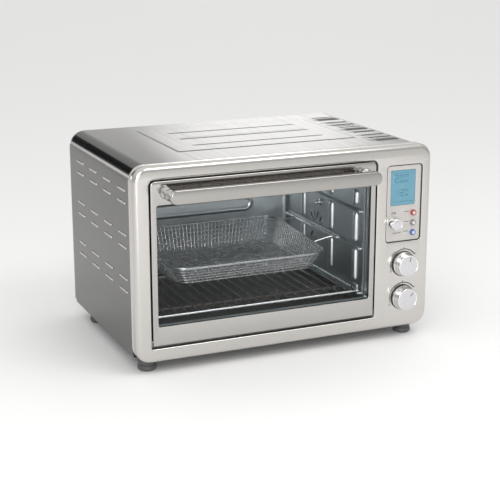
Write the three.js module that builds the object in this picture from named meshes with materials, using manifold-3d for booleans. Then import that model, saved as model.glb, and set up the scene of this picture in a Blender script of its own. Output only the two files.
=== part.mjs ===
// Countertop toaster oven with a drop-down glass door, a digital control column, a wire rack,
// an air-fry basket and a convection fan.
//
// Millimetres, +Z up, the door faces -Y. The origin is on the counter, at the centre of the
// footprint that runs from the front of the handle bar to the rear face of the cord gland.
// Depths are counted from the fascia's face towards the rear, heights from the counter.

import * as THREE from 'three';
import { mergeVertices } from 'three/addons/utils/BufferGeometryUtils.js';
import Module from 'manifold-3d';

const wasm = await Module();
wasm.setup();

// ---------------------------------------------------------------- driving dimensions

const BODY_WIDTH = 510;
const BODY_DEPTH = 342;
const BODY_BOTTOM = 20;
const BODY_TOP = 327;
const HANDLE_REACH = 41;
const GLAND_REACH = 6;
const FACE = (HANDLE_REACH - BODY_DEPTH - GLAND_REACH) / 2;

const GAP = 0.3;
const HALF = BODY_WIDTH / 2;

// The fascia is a hollow moulded frame with a rounded front edge.
const FASCIA = { depth: 25, skin: 1.6, corner: 24, round: 8 };

// The wrap-round casing is one bent sheet, open below and at the rear.
const CASING = { sheet: 0.9, corner: 27, bottom: 30, flange: 9 };

// The door closes flush into the fascia's opening and turns about a pin near its lower edge.
const DOOR = { left: -228, right: 153, bottom: 47, top: 304, thick: 14, skin: 1.5, corner: 7 };
const DOOR_WINDOW = { left: -219, right: 144, bottom: 77, top: 267.5 };
const OPENING = { left: -230.2, right: 155.2, bottom: 42.6, top: 306.2, wall: 1.6 };
const HINGE = { depth: 7, height: 52.2, pin: 2 };

// The handle is a flat bar on two turned posts.
const HANDLE = { left: -211, right: 141, height: 286, tall: 22, thick: 10 };
const POST_X = [-204, 134];

// The cavity is made of five sheets behind a flat front frame.
const CAVITY = { left: -217, right: 142, bottom: 59.5, top: 296, front: 18.3, rear: 310, sheet: 0.9 };
const GUIDE_TOPS = [82, 158, 220];
const GUIDE = { reach: 6, thick: 5, front: 24, rear: 300 };
const PAD_DEPTHS = [46, 132, 239];
const PAD = { wide: 13, proud: 1.6, spans: [[97, 152], [163, 214], [225, 251]] };
const HEATER = { radius: 3.2, lower: 72.5, upper: 281, hole: 4.2, collar: 5.5, end: 9, reach: 13 };
const HEATER_DEPTHS = [92, 232];
const REAR_RING = { left: -192, right: 74, bottom: 164.5, top: 194.5, wide: 8, proud: 1.6 };

// The convection fan turns behind slots in the right cavity wall.
const FAN = { depth: 190, height: 157, radius: 36, vanes: 8, vane: 1.2, hub: 8, near: 148, far: 158, shaft: 2.5 };
const FAN_SLOTS = { count: 12, inner: 15, outer: 30, wide: 3.6, drop: 2, clearOfGuide: 0.3 };
const SENSOR = { depth: 171, height: 203, hole: 3.4, reach: 13 };

// The control column stands to the right of the door.
const PANEL = { left: 173, right: 238.5, bottom: 167, top: 295, lap: 3, recess: 2.6, thick: 2.2 };
const LCD = { left: 181.5, right: 227, bottom: 228, top: 286 };
const SELECT = { x: 188, z: 199, radius: 10.8 };
const BUTTONS = [
  { name: 'stop_button', z: 213.7, colour: 0xb8352c },
  { name: 'light_button', z: 196.9, colour: 0x9a9a98 },
  { name: 'start_button', z: 180.5, colour: 0x2f6fb0 },
];
const BUTTON = { x: 224.6, radius: 4.2 };
const DIALS = [
  { name: 'upper', x: 207.5, z: 129.5 },
  { name: 'lower', x: 207.5, z: 72.5 },
];
const DIAL = { ring: 21.5, radius: 19, proud: 18.5 };
const CONTROL_BOARD = { display: 6, near: 16, far: 17.6, seat: 0.1 };
const POWER_BOARD = { left: 243, right: 244.6, near: 90, far: 190, bottom: 50, top: 130, seat: 0.1 };

// The wire rack lies on the lowest guides, and the basket hangs from the middle ones.
const RACK = { wire: 2.2, thin: 1.4, front: 25, rear: 296, middle: 225, rods: 19 };
const BASKET = { centre: -37.5, half: 135, front: 58, rear: 272, corner: 26, floor: 118, taper: 12, inset: 2.6 };
const BASKET_RIM = { front: 147, rear: 161, wire: 2 };

const BASKET_RAIL = { clear: 4, apart: 9, wire: 1.9, front: 90, rear: 288 };
const HANGERS = [[90, 110], [250, 240]];
const TRAY = { clear: 5, front: 22, rear: 300, bottom: 60.6, tall: 7, sheet: 1.2 };

const FOOT = { x: 228, depths: [34, 288], radius: 15, neck: 8 };

const X_AXIS = new THREE.Vector3(1, 0, 0);
const Y_AXIS = new THREE.Vector3(0, 1, 0);
const Z_AXIS = new THREE.Vector3(0, 0, 1);

// ---------------------------------------------------------------- geometry helpers

// Joins shared vertices and hands a closed geometry over for joining and cutting.
function solid(geometry) {
  const bare = geometry.index ? geometry.toNonIndexed() : geometry.clone();
  bare.deleteAttribute('normal');
  bare.deleteAttribute('uv');
  const merged = mergeVertices(bare, 1e-4);
  return new wasm.Manifold(new wasm.Mesh({
    numProp: 3,
    vertProperties: new Float32Array(merged.attributes.position.array),
    triVerts: new Uint32Array(merged.index.array),
  }));
}

function geometryOf(body) {
  const mesh = body.getMesh();
  const geometry = new THREE.BufferGeometry();
  geometry.setAttribute('position', new THREE.BufferAttribute(new Float32Array(mesh.vertProperties), 3));
  geometry.setIndex(new THREE.BufferAttribute(new Uint32Array(mesh.triVerts), 1));
  geometry.computeVertexNormals();
  return geometry;
}

function join(first, ...others) {
  return others.flat().reduce((whole, part) => whole.add(part), first);
}

function cut(first, ...tools) {
  return tools.flat().reduce((whole, tool) => whole.subtract(tool), first);
}

// Turns a drawing plane into place: the drawing's own X, Y and depth go to these directions.
function basisFor(axis) {
  if (axis === 'x') return new THREE.Matrix4().makeBasis(Y_AXIS, Z_AXIS, X_AXIS);
  if (axis === 'y') return new THREE.Matrix4().makeBasis(X_AXIS, Z_AXIS, Y_AXIS.clone().negate());
  return new THREE.Matrix4();
}

// A flat outline pushed along one axis. Along X it is drawn in (Y, Z), along Y in (X, Z).
function extrude(shape, axis, from, to, curveSegments = 2) {
  const geometry = new THREE.ExtrudeGeometry(shape, { depth: to - from, bevelEnabled: false, curveSegments });
  geometry.translate(0, 0, axis === 'y' ? -to : from);
  geometry.applyMatrix4(basisFor(axis));
  return solid(geometry);
}

// A rectangle with its own radius at each corner: lower left, lower right, upper right, upper left.
function roundedRect(x0, y0, x1, y1, radii) {
  const [a, b, c, d] = Array.isArray(radii) ? radii : [radii, radii, radii, radii];
  const shape = new THREE.Shape();
  const right = Math.PI / 2;
  shape.moveTo(x0 + a, y0);
  shape.lineTo(x1 - b, y0);
  if (b > 0) shape.absarc(x1 - b, y0 + b, b, -right, 0, false);
  shape.lineTo(x1, y1 - c);
  if (c > 0) shape.absarc(x1 - c, y1 - c, c, 0, right, false);
  shape.lineTo(x0 + d, y1);
  if (d > 0) shape.absarc(x0 + d, y1 - d, d, right, 2 * right, false);
  shape.lineTo(x0, y0 + a);
  if (a > 0) shape.absarc(x0 + a, y0 + a, a, 2 * right, 3 * right, false);
  return shape;
}

// A block between two corners, given as X, depth behind the fascia's face, and height.
function block(x0, x1, d0, d1, z0, z1) {
  const geometry = new THREE.BoxGeometry(x1 - x0, d1 - d0, z1 - z0);
  geometry.translate((x0 + x1) / 2, FACE + (d0 + d1) / 2, (z0 + z1) / 2);
  return solid(geometry);
}

// A flat ring: one rounded rectangle with another cut out of it, pushed from depth d0 to d1.
function plateWithWindow(outer, inner, d0, d1) {
  outer.holes.push(inner);
  return extrude(outer, 'y', FACE + d0, FACE + d1);
}

// A round bar along one axis between two places on it.
function bar(axis, radius, from, to, a, b, sides = 16) {
  const geometry = new THREE.CylinderGeometry(radius, radius, to - from, sides);
  const middle = (from + to) / 2;
  if (axis === 'x') {
    geometry.rotateZ(-Math.PI / 2);
    geometry.translate(middle, FACE + a, b);
  } else if (axis === 'y') {
    geometry.translate(a, FACE + middle, b);
  } else {
    geometry.rotateX(Math.PI / 2);
    geometry.translate(a, FACE + b, middle);
  }
  return solid(geometry);
}

// A straight wire from one point to another.
function wire(from, to, radius, sides = 6) {
  const start = new THREE.Vector3(from[0], FACE + from[1], from[2]);
  const end = new THREE.Vector3(to[0], FACE + to[1], to[2]);
  const run = end.clone().sub(start);
  const geometry = new THREE.CylinderGeometry(radius, radius, run.length(), sides);
  geometry.applyQuaternion(new THREE.Quaternion().setFromUnitVectors(Y_AXIS, run.normalize()));
  geometry.translate((start.x + end.x) / 2, (start.y + end.y) / 2, (start.z + end.z) / 2);
  return solid(geometry);
}

// A turned piece. Its profile is [radius, place] pairs along the axis, which points to -Y for
// pieces on the front, to +X for pieces on the right wall, and up for feet.
function turned(profile, direction, origin, sides = 24) {
  const points = profile.map(([radius, place]) => new THREE.Vector2(radius, place));
  const geometry = new THREE.LatheGeometry(points, sides);
  geometry.applyQuaternion(new THREE.Quaternion().setFromUnitVectors(Y_AXIS, direction));
  geometry.translate(origin[0], FACE + origin[1], origin[2]);
  return solid(geometry);
}

const root = new THREE.Group();

function place(name, body, colour, roughness, metalness) {
  const material = new THREE.MeshStandardMaterial({ color: colour, roughness, metalness });
  material.name = name;
  const mesh = new THREE.Mesh(geometryOf(body), material);
  mesh.name = name;
  root.add(mesh);
}

// ---------------------------------------------------------------- finishes

const STEEL = [0xc9c6c2, 0.38, 0.9];
const DARK_STEEL = [0x8d8a88, 0.42, 0.9];
const CAVITY_STEEL = [0x8f9aa2, 0.35, 0.9];
const CHROME = [0xe4e4e4, 0.08, 1.0];
const BLACK = [0x26262a, 0.6, 0.0];
const GREY_PLASTIC = [0xa9a7a4, 0.4, 0.3];
const GLASS = [0xcfd8da, 0.05, 0.0];
const LCD_BLUE = [0x78aabe, 0.2, 0.0];
const BOARD = [0x2c5a38, 0.6, 0.0];
const CERAMIC = [0xd8d4c8, 0.7, 0.0];
const ZINC = [0xb6b8ba, 0.35, 0.9];

// ---------------------------------------------------------------- casing and covers

// Three sides of the body in one sheet, with a turned-in flange along each lower edge.
function casingSection() {
  const t = CASING.sheet;
  const top = BODY_TOP;
  const centre = HALF - CASING.corner;
  const inner = CASING.corner - t;
  const lip = HALF - CASING.flange;
  const right = Math.PI / 2;
  const shape = new THREE.Shape();
  shape.moveTo(lip, CASING.bottom);
  shape.lineTo(HALF, CASING.bottom);
  shape.lineTo(HALF, top - CASING.corner);
  shape.absarc(centre, top - CASING.corner, CASING.corner, 0, right, false);
  shape.lineTo(-centre, top);
  shape.absarc(-centre, top - CASING.corner, CASING.corner, right, 2 * right, false);
  shape.lineTo(-HALF, CASING.bottom);
  shape.lineTo(-lip, CASING.bottom);
  shape.lineTo(-lip, CASING.bottom + t);
  shape.lineTo(-HALF + t, CASING.bottom + t);
  shape.lineTo(-HALF + t, top - CASING.corner);
  shape.absarc(-centre, top - CASING.corner, inner, 2 * right, right, true);
  shape.lineTo(centre, top - t);
  shape.absarc(centre, top - CASING.corner, inner, right, 0, true);
  shape.lineTo(HALF - t, CASING.bottom + t);
  shape.lineTo(lip, CASING.bottom + t);
  return shape;
}

const SIDE_ROWS = [124.5, 144.5, 194.5, 214.5, 264.5, 284];
const SIDE_SLOTS = { starts: [38, 111, 184, 257], length: 43, tall: 3 };
const TOP_SLOTS = { left: 186, right: 224, first: 56, pitch: 26.5, wide: 5, count: 10 };

function outerCasing() {
  let casing = extrude(casingSection(), 'y', FACE + FASCIA.depth + GAP, FACE + BODY_DEPTH, 4);
  for (const start of SIDE_SLOTS.starts) {
    for (const row of SIDE_ROWS) {
      const low = row - SIDE_SLOTS.tall / 2;
      const high = row + SIDE_SLOTS.tall / 2;
      casing = cut(casing, block(-HALF - 5, -HALF + 5, start, start + SIDE_SLOTS.length, low, high));
      casing = cut(casing, block(HALF - 5, HALF + 5, start, start + SIDE_SLOTS.length, low, high));
    }
  }
  for (let i = 0; i < TOP_SLOTS.count; i += 1) {
    const near = TOP_SLOTS.first + i * TOP_SLOTS.pitch;
    const slot = block(TOP_SLOTS.left, TOP_SLOTS.right, near, near + TOP_SLOTS.wide, BODY_TOP - 5, BODY_TOP + 5);
    casing = cut(casing, slot);
  }
  return casing;
}

// A slab with quarter-round front edges, drawn in by an inset all round: it is made deeper than
// needed, with both ends rounded, and cut off behind.
function roundedSlab(inset, front, rear) {
  const reach = HALF - inset;
  const outline = roundedRect(-reach, BODY_BOTTOM + inset, reach, BODY_TOP - inset, FASCIA.corner - inset);
  const round = FASCIA.round - inset;
  const geometry = new THREE.ExtrudeGeometry(outline, {
    depth: 2 * FASCIA.depth,
    bevelThickness: round,
    bevelSize: round,
    bevelOffset: -round,
    bevelSegments: 3,
    curveSegments: 3,
  });
  geometry.translate(0, 0, -2 * FASCIA.depth - round - FACE - front);
  geometry.applyMatrix4(basisFor('y'));
  const behind = block(-HALF - 5, HALF + 5, rear, 4 * FASCIA.depth, 0, BODY_TOP + 5);
  return cut(solid(geometry), behind);
}

function frontFascia() {
  const pocket = roundedSlab(FASCIA.skin, FASCIA.skin, FASCIA.depth + 1);
  const o = OPENING;
  const w = o.wall;
  const returnOutline = roundedRect(o.left - w, o.bottom - w, o.right + w, o.top + w, [3.6, 3.6, 10.6, 10.6]);
  const returnWall = extrude(returnOutline, 'y', FACE + FASCIA.skin / 2, FACE + FASCIA.depth);
  const openingOutline = roundedRect(o.left, o.bottom, o.right, o.top, [2, 2, 9, 9]);
  const doorOpening = extrude(openingOutline, 'y', FACE - 5, FACE + FASCIA.depth + 5);
  const panelOutline = roundedRect(PANEL.left, PANEL.bottom, PANEL.right, PANEL.top, 6);
  const panelOpening = extrude(panelOutline, 'y', FACE - 5, FACE + FASCIA.skin + 1);
  let fascia = join(cut(roundedSlab(0, 0, FASCIA.depth), pocket), returnWall);
  fascia = cut(fascia, doorOpening, panelOpening);
  for (const dial of DIALS) fascia = cut(fascia, bar('y', 5, -5, FASCIA.skin + 2, dial.x, dial.z, 12));
  const pinHole = HINGE.pin + 0.5;
  fascia = cut(fascia, bar('x', pinHole, o.left - 4, o.left + 4, HINGE.depth, HINGE.height, 12));
  fascia = cut(fascia, bar('x', pinHole, o.right - 4, o.right + 4, HINGE.depth, HINGE.height, 12));
  return fascia;
}

const BASE = { clear: 1.8, rear: 339, low: 24.3, sheet: 1.2, edgeTop: 29.6 };
const BASE_VENTS = { first: 90, pitch: 26, wide: 5, count: 6, spans: [[165, 205], [-150, -90]] };

// The bottom pan has a turned-up edge on each side and slots that let cooling air in.
function basePlate() {
  const edge = HALF - CASING.sheet - BASE.clear;
  const front = FASCIA.depth + 2 * GAP;
  const top = BASE.low + BASE.sheet;
  let pan = block(-edge, edge, front, BASE.rear, BASE.low, top);
  pan = join(pan, block(-edge, -edge + BASE.sheet, front, BASE.rear, top - 0.1, BASE.edgeTop));
  pan = join(pan, block(edge - BASE.sheet, edge, front, BASE.rear, top - 0.1, BASE.edgeTop));
  for (let i = 0; i < BASE_VENTS.count; i += 1) {
    const near = BASE_VENTS.first + i * BASE_VENTS.pitch;
    for (const span of BASE_VENTS.spans) {
      pan = cut(pan, block(...span, near, near + BASE_VENTS.wide, BASE.low - 1, top + 1));
    }
  }
  return pan;
}

const GLAND = { x: 205, z: 74, hole: 7.5, bore: 4, flange: 12, length: 10 };
const REAR_SCREWS = [[-238, 44], [238, 44], [-226, 300], [226, 300]];
const COVER = { clear: 0.6, bottom: 32, near: BODY_DEPTH - 2.6, far: BODY_DEPTH - 1.4, screwHole: 2.2 };
const COVER_VENTS = { first: 200, pitch: 12, tall: 4, count: 7, spans: [[164, 228], [-228, -164]] };

// The rear cover closes the casing and carries two banks of vent slots and the gland's hole.
function rearCover() {
  const edge = HALF - CASING.sheet - COVER.clear;
  const top = BODY_TOP - CASING.sheet - COVER.clear;
  const outline = roundedRect(-edge, COVER.bottom, edge, top, [3, 3, CASING.corner - 2, CASING.corner - 2]);
  const through = [COVER.near - 1, COVER.far + 1];
  let cover = extrude(outline, 'y', FACE + COVER.near, FACE + COVER.far, 4);
  for (let i = 0; i < COVER_VENTS.count; i += 1) {
    const low = COVER_VENTS.first + i * COVER_VENTS.pitch;
    for (const span of COVER_VENTS.spans) {
      cover = cut(cover, block(...span, ...through, low, low + COVER_VENTS.tall));
    }
  }
  cover = cut(cover, bar('y', GLAND.hole, ...through, GLAND.x, GLAND.z, 20));
  for (const [x, z] of REAR_SCREWS) cover = cut(cover, bar('y', COVER.screwHole, ...through, x, z, 10));
  return cover;
}

// A flanged bush with a through hole for the supply cord.
function cordGland() {
  const near = BODY_DEPTH - GLAND.length;
  const far = BODY_DEPTH + GLAND_REACH;
  const bush = bar('y', GLAND.hole - GAP, near, far - 1, GLAND.x, GLAND.z, 20);
  const flange = bar('y', GLAND.flange, BODY_DEPTH - 1, far, GLAND.x, GLAND.z, 20);
  const bore = bar('y', GLAND.bore, near - 2, far + 2, GLAND.x, GLAND.z, 12);
  return cut(join(bush, flange), bore);
}

place('outer_casing', outerCasing(), ...DARK_STEEL);
place('front_fascia', frontFascia(), ...STEEL);
place('base_plate', basePlate(), ...ZINC);
place('rear_cover', rearCover(), ...ZINC);
place('cord_gland', cordGland(), ...BLACK);

REAR_SCREWS.forEach(([x, z], i) => {
  const head = [[0, 0], [1.7, 0], [1.7, 6.4], [4, 6.4], [4, 8.2], [2.6, 9], [0, 9]];
  place(`rear_screw_${i + 1}`, turned(head, Y_AXIS, [x, BODY_DEPTH - 7.2, z], 10), ...ZINC);
});

const FOOT_NAMES = [
  ['foot_front_left', -1, 0],
  ['foot_front_right', 1, 0],
  ['foot_rear_left', -1, 1],
  ['foot_rear_right', 1, 1],
];
for (const [name, side, row] of FOOT_NAMES) {
  const profile = [[0, 0], [FOOT.radius - 1.5, 0], [FOOT.radius, 2], [FOOT.radius - 1, 19.6], [FOOT.neck, 19.6]];
  profile.push([FOOT.neck, 24], [0, 24]);
  place(name, turned(profile, Z_AXIS, [side * FOOT.x, FOOT.depths[row], 0]), ...BLACK);
}

// ---------------------------------------------------------------- cavity

function cavityFrontFrame() {
  const o = OPENING;
  const c = CAVITY;
  const outer = roundedRect(o.left + GAP, o.bottom + GAP, o.right - GAP, o.top - GAP, [1.7, 1.7, 8.7, 8.7]);
  const inner = roundedRect(c.left, c.bottom, c.right, c.top, 4);
  return plateWithWindow(outer, inner, 16.5, 18);
}

// A side wall with three rack guides and pressed pads. side is -1 for the left, +1 for the right.
function cavitySideWall(side) {
  const c = CAVITY;
  const inside = side < 0 ? c.left : c.right;
  const outside = inside + side * c.sheet;
  const span = (a, b) => [Math.min(a, b), Math.max(a, b)];
  let wall = block(...span(inside, outside), c.front, c.rear, c.bottom, c.top);
  for (const top of GUIDE_TOPS) {
    const x = span(inside - side * GUIDE.reach, inside + side * 0.5);
    wall = join(wall, block(...x, GUIDE.front, GUIDE.rear, top - GUIDE.thick, top));
  }
  for (const depth of PAD_DEPTHS) {
    for (const [low, high] of PAD.spans) {
      const x = span(inside - side * PAD.proud, inside + side * 0.5);
      wall = join(wall, block(...x, depth - PAD.wide / 2, depth + PAD.wide / 2, low, high));
    }
  }
  for (const depth of HEATER_DEPTHS) {
    for (const height of [HEATER.lower, HEATER.upper]) {
      wall = cut(wall, bar('x', HEATER.hole, ...span(inside - side * 4, outside + side * 4), depth, height, 12));
    }
  }
  return wall;
}

// Short radial slots round the fan's axis, left out where the middle guide crosses them.
function fanSlots() {
  const s = FAN_SLOTS;
  const slots = [];
  for (let i = 0; i < s.count; i += 1) {
    const angle = (2 * Math.PI * (i + 0.5)) / s.count;
    if (Math.abs(Math.sin(angle)) > s.clearOfGuide) {
      const geometry = new THREE.BoxGeometry(8, s.outer - s.inner, s.wide);
      geometry.translate(0, (s.outer + s.inner) / 2, 0);
      geometry.rotateX(angle);
      geometry.translate(CAVITY.right, FACE + FAN.depth, FAN.height - s.drop);
      slots.push(solid(geometry));
    }
  }
  return slots;
}

function cavityRightWall() {
  const sensorHole = bar('x', SENSOR.hole, CAVITY.right - 4, CAVITY.right + 4, SENSOR.depth, SENSOR.height, 12);
  const [low, high] = [GUIDE_TOPS[1] - GUIDE.thick - 0.5, GUIDE_TOPS[1] + 0.5];
  const guard = block(CAVITY.right - 10, CAVITY.right + 2, FAN.depth - 60, FAN.depth + 60, low, high);
  const slots = fanSlots().map((slot) => slot.subtract(guard));
  return cut(cavitySideWall(1), sensorHole, slots);
}

// The rear wall is stiffened by a long pressed ring with half-round ends.
function cavityRearWall() {
  const c = CAVITY;
  const r = REAR_RING;
  const wall = block(c.left - c.sheet, c.right + c.sheet, c.rear + GAP, c.rear + GAP + c.sheet, c.bottom, c.top);
  const outer = roundedRect(r.left, r.bottom, r.right, r.top, (r.top - r.bottom) / 2);
  const [low, high] = [r.bottom + r.wide, r.top - r.wide];
  const inner = roundedRect(r.left + r.wide, low, r.right - r.wide, high, (high - low) / 2);
  return join(wall, plateWithWindow(outer, inner, c.rear - r.proud, c.rear + GAP + c.sheet / 2));
}

function cavityRoof() {
  const c = CAVITY;
  return block(c.left - c.sheet, c.right + c.sheet, c.front, c.rear + 1.5, c.top + GAP, c.top + GAP + c.sheet);
}

function cavityFloor() {
  const c = CAVITY;
  return block(c.left - c.sheet, c.right + c.sheet, c.front, c.rear + 1.5, 58, 59.2);
}

place('cavity_front_frame', cavityFrontFrame(), ...CAVITY_STEEL);
place('cavity_left_wall', cavitySideWall(-1), ...CAVITY_STEEL);
place('cavity_right_wall', cavityRightWall(), ...CAVITY_STEEL);
place('cavity_rear_wall', cavityRearWall(), ...CAVITY_STEEL);
place('cavity_roof', cavityRoof(), ...CAVITY_STEEL);
place('cavity_floor', cavityFloor(), ...CAVITY_STEEL);

// Each heater is a straight sheathed tube with a ceramic end outside each side wall.
function heater(depth, height) {
  const { radius, collar, end, reach } = HEATER;
  const length = CAVITY.right - CAVITY.left + 2 * reach;
  const profile = [[0, 0], [collar, 0], [collar, end], [radius, end], [radius, length - end]];
  profile.push([collar, length - end], [collar, length], [0, length]);
  return turned(profile, X_AXIS, [CAVITY.left - reach, depth, height], 12);
}

place('heater_lower_front', heater(HEATER_DEPTHS[0], HEATER.lower), ...CERAMIC);
place('heater_lower_rear', heater(HEATER_DEPTHS[1], HEATER.lower), ...CERAMIC);
place('heater_upper_front', heater(HEATER_DEPTHS[0], HEATER.upper), ...CERAMIC);
place('heater_upper_rear', heater(HEATER_DEPTHS[1], HEATER.upper), ...CERAMIC);

const sensorProfile = [[0, 0], [2, 0], [3, 2], [3, 10], [6, 10.5], [6, 12.5], [3, 12.5], [3, 30], [0, 30]];
const sensorOrigin = [CAVITY.right - SENSOR.reach, SENSOR.depth, SENSOR.height];
place('temperature_sensor', turned(sensorProfile, X_AXIS, sensorOrigin, 12), ...CHROME);

// ---------------------------------------------------------------- convection fan

const SHROUD = { near: CAVITY.right + CAVITY.sheet + GAP, far: 166, radius: 40, flange: 4 };

// A shallow pan behind the cavity wall, open towards the fan slots.
function fanShroud() {
  const { near, far, radius, flange } = SHROUD;
  const t = 1.2;
  const profile = [[radius + flange, 0], [radius + flange, t], [radius, t], [radius, far - near], [7, far - near]];
  profile.push([7, far - near - t], [radius - t, far - near - t], [radius - t, 0], [radius + flange, 0]);
  return turned(profile, X_AXIS, [near, FAN.depth, FAN.height], 28);
}

function fanMotor() {
  const can = turned([[0, 0], [9, 0], [9, 4], [26, 4], [27, 6], [27, 32], [25, 34], [0, 34]], X_AXIS,
    [SHROUD.far + 0.5, FAN.depth, FAN.height], 20);
  const bore = bar('x', 2.8, SHROUD.far - 2, SHROUD.far + 20, FAN.depth, FAN.height, 12);
  return cut(can, bore);
}

// Eight pitched vanes on a hub, with the shaft that runs back into the motor.
function fanBlade() {
  const { radius, vanes, hub, near, far, shaft } = FAN;
  const inner = hub - 3;
  let blade = bar('x', hub, near, far, FAN.depth, FAN.height, 16);
  for (let i = 0; i < vanes; i += 1) {
    const vane = new THREE.BoxGeometry(far - near, radius - inner, FAN.vane);
    vane.rotateY(0.35);
    vane.translate(0, (radius + inner) / 2, 0);
    vane.rotateX((2 * Math.PI * i) / vanes);
    vane.translate((near + far) / 2, FACE + FAN.depth, FAN.height);
    blade = join(blade, solid(vane));
  }
  return join(blade, bar('x', shaft, near - 1, SHROUD.far + 18, FAN.depth, FAN.height, 12));
}

place('fan_shroud', fanShroud(), ...ZINC);
place('fan_motor', fanMotor(), ...ZINC);
place('fan_blade', fanBlade(), ...ZINC);

// ---------------------------------------------------------------- control column

function controlPanel() {
  const lap = PANEL.lap;
  const outer = roundedRect(PANEL.left - lap, PANEL.bottom - lap, PANEL.right + lap, PANEL.top + lap, 4);
  const window = roundedRect(LCD.left, LCD.bottom, LCD.right, LCD.top, GAP);
  let panel = plateWithWindow(outer, window, PANEL.recess, PANEL.recess + PANEL.thick);
  panel = cut(panel, bar('y', 3.6, 0, 10, SELECT.x, SELECT.z, 12));
  for (const button of BUTTONS) panel = cut(panel, bar('y', BUTTON.radius + 0.45, 0, 10, BUTTON.x, button.z, 16));
  return panel;
}

// The board fills the column behind the panel. A chip and a connector stand on its rear face.
function controlBoard() {
  const { near, far, seat } = CONTROL_BOARD;
  const board = block(PANEL.left - 1, PANEL.right + 1.5, near, far, PANEL.bottom + 1, PANEL.top + 1);
  const chip = block(196, 208, far - seat, far + 1.9, 205, 217);
  const connector = block(180, 200, far - seat, far + 5.4, 175, 183);
  const [left, right] = [LCD.left - 3.5, LCD.right + 4];
  const display = block(left, right, CONTROL_BOARD.display, near + seat, LCD.bottom - 4, LCD.top + 4);
  return join(board, chip, connector, display);
}

const boxHousing = (x, z, half, d0, d1, bore) => cut(
  block(x - half, x + half, d0, d1, z - half, z + half),
  bar('y', bore, d0 - 2, d1 - 2, x, z, 12),
);

place('control_panel', controlPanel(), ...GREY_PLASTIC);
place('lcd_window', block(LCD.left + GAP, LCD.right - GAP, 2.9, 4.5, LCD.bottom + GAP, LCD.top - GAP), ...LCD_BLUE);
place('control_board', controlBoard(), ...BOARD);
place('encoder', boxHousing(SELECT.x, SELECT.z, 6.5, 6, 15.6, 3.4), ...ZINC);

// The board stands beside the casing's right side and carries a transformer and a relay.
function powerBoard() {
  const b = POWER_BOARD;
  const board = block(b.left, b.right, b.near, b.far, b.bottom, b.top);
  const transformer = block(212, b.left + b.seat, 100, 140, 60, 95);
  const relay = block(226, b.left + b.seat, 155, 175, 60, 80);
  return join(board, transformer, relay);
}

place('power_board', powerBoard(), ...BOARD);

// The dials stand on dark rings that lie on the fascia's face.
for (const dial of DIALS) {
  const facing = Y_AXIS.clone().negate();
  const ring = [[6, GAP], [DIAL.ring, GAP], [DIAL.ring, 1.4], [DIAL.ring - 1.6, 3], [6, 3], [6, GAP]];
  place(`dial_ring_${dial.name}`, turned(ring, facing, [dial.x, 0, dial.z], 32), ...BLACK);
  place(`rotary_switch_${dial.name}`, boxHousing(dial.x, dial.z, 12, 3.4, 18, 3.4), ...ZINC);
  const r = DIAL.radius;
  const cap = [[0, 5], [3.4, 5], [3.4, 3.4], [r, 3.4], [r, DIAL.proud - 1.5], [r - 1.5, DIAL.proud], [0, DIAL.proud]];
  const socket = bar('y', 3.3, -14, 0, dial.x, dial.z, 12);
  place(`dial_${dial.name}`, cut(turned(cap, facing, [dial.x, 0, dial.z], 32), socket), ...CHROME);
  place(`dial_shaft_${dial.name}`, bar('y', 3, -13, 15, dial.x, dial.z, 12), ...ZINC);
}

const selectProfile = [[0, 0], [SELECT.radius, 0], [SELECT.radius - 0.3, 12], [SELECT.radius - 1.3, 13], [0, 13]];
const selectBody = turned(selectProfile, Y_AXIS.clone().negate(), [SELECT.x, PANEL.recess - GAP, SELECT.z], 24);
const selectShaft = bar('y', 2.9, -6, 13, SELECT.x, SELECT.z, 12);
place('select_knob', join(selectBody, selectShaft), ...CHROME);

for (const button of BUTTONS) {
  const r = BUTTON.radius;
  const profile = [[0, 0], [r + 1, 0], [r + 1, 1.2], [r, 1.2], [r, 7], [r - 0.8, 8], [0, 8]];
  const origin = [BUTTON.x, PANEL.recess + PANEL.thick + 2, button.z];
  place(button.name, turned(profile, Y_AXIS.clone().negate(), origin, 20), button.colour, 0.35, 0.2);
}

// ---------------------------------------------------------------- door

const DOOR_CORNERS = [3, 3, DOOR.corner, DOOR.corner];

// The outer pan: a face with the window cut out, and an edge wall that runs back all round.
function doorFrame() {
  const d = DOOR;
  const w = DOOR_WINDOW;
  const t = d.skin;
  const slab = extrude(roundedRect(d.left, d.bottom, d.right, d.top, DOOR_CORNERS), 'y', FACE, FACE + d.thick);
  const hollowOutline = roundedRect(d.left + t, d.bottom + t, d.right - t, d.top - t, [2, 2, 5.5, 5.5]);
  const hollow = extrude(hollowOutline, 'y', FACE + t, FACE + d.thick + 2);
  const windowOutline = roundedRect(w.left, w.bottom, w.right, w.top, 4);
  const opening = extrude(windowOutline, 'y', FACE - 2, FACE + t + 2);
  const pins = bar('x', HINGE.pin + GAP, d.left - 2, d.right + 2, HINGE.depth, HINGE.height, 12);
  return cut(slab, hollow, opening, pins);
}

// The inner liner closes the pan behind the glass and clamps the glass with its folded edge.
function doorLiner() {
  const d = DOOR;
  const w = DOOR_WINDOW;
  const t = 1.2;
  const edge = d.skin + GAP;
  const outer = roundedRect(d.left + edge, d.bottom + edge, d.right - edge, d.top - edge, [2.2, 2.2, 5.7, 5.7]);
  const window = roundedRect(w.left, w.bottom, w.right, w.top, 4);
  const face = plateWithWindow(outer, window, d.thick - t - 0.1, d.thick - 0.1);
  const foldOuter = roundedRect(w.left - t, w.bottom - t, w.right + t, w.top + t, 5);
  const foldInner = roundedRect(w.left, w.bottom, w.right, w.top, 4);
  const fold = plateWithWindow(foldOuter, foldInner, 6.4, d.thick - 0.5);
  return join(face, fold);
}

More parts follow.
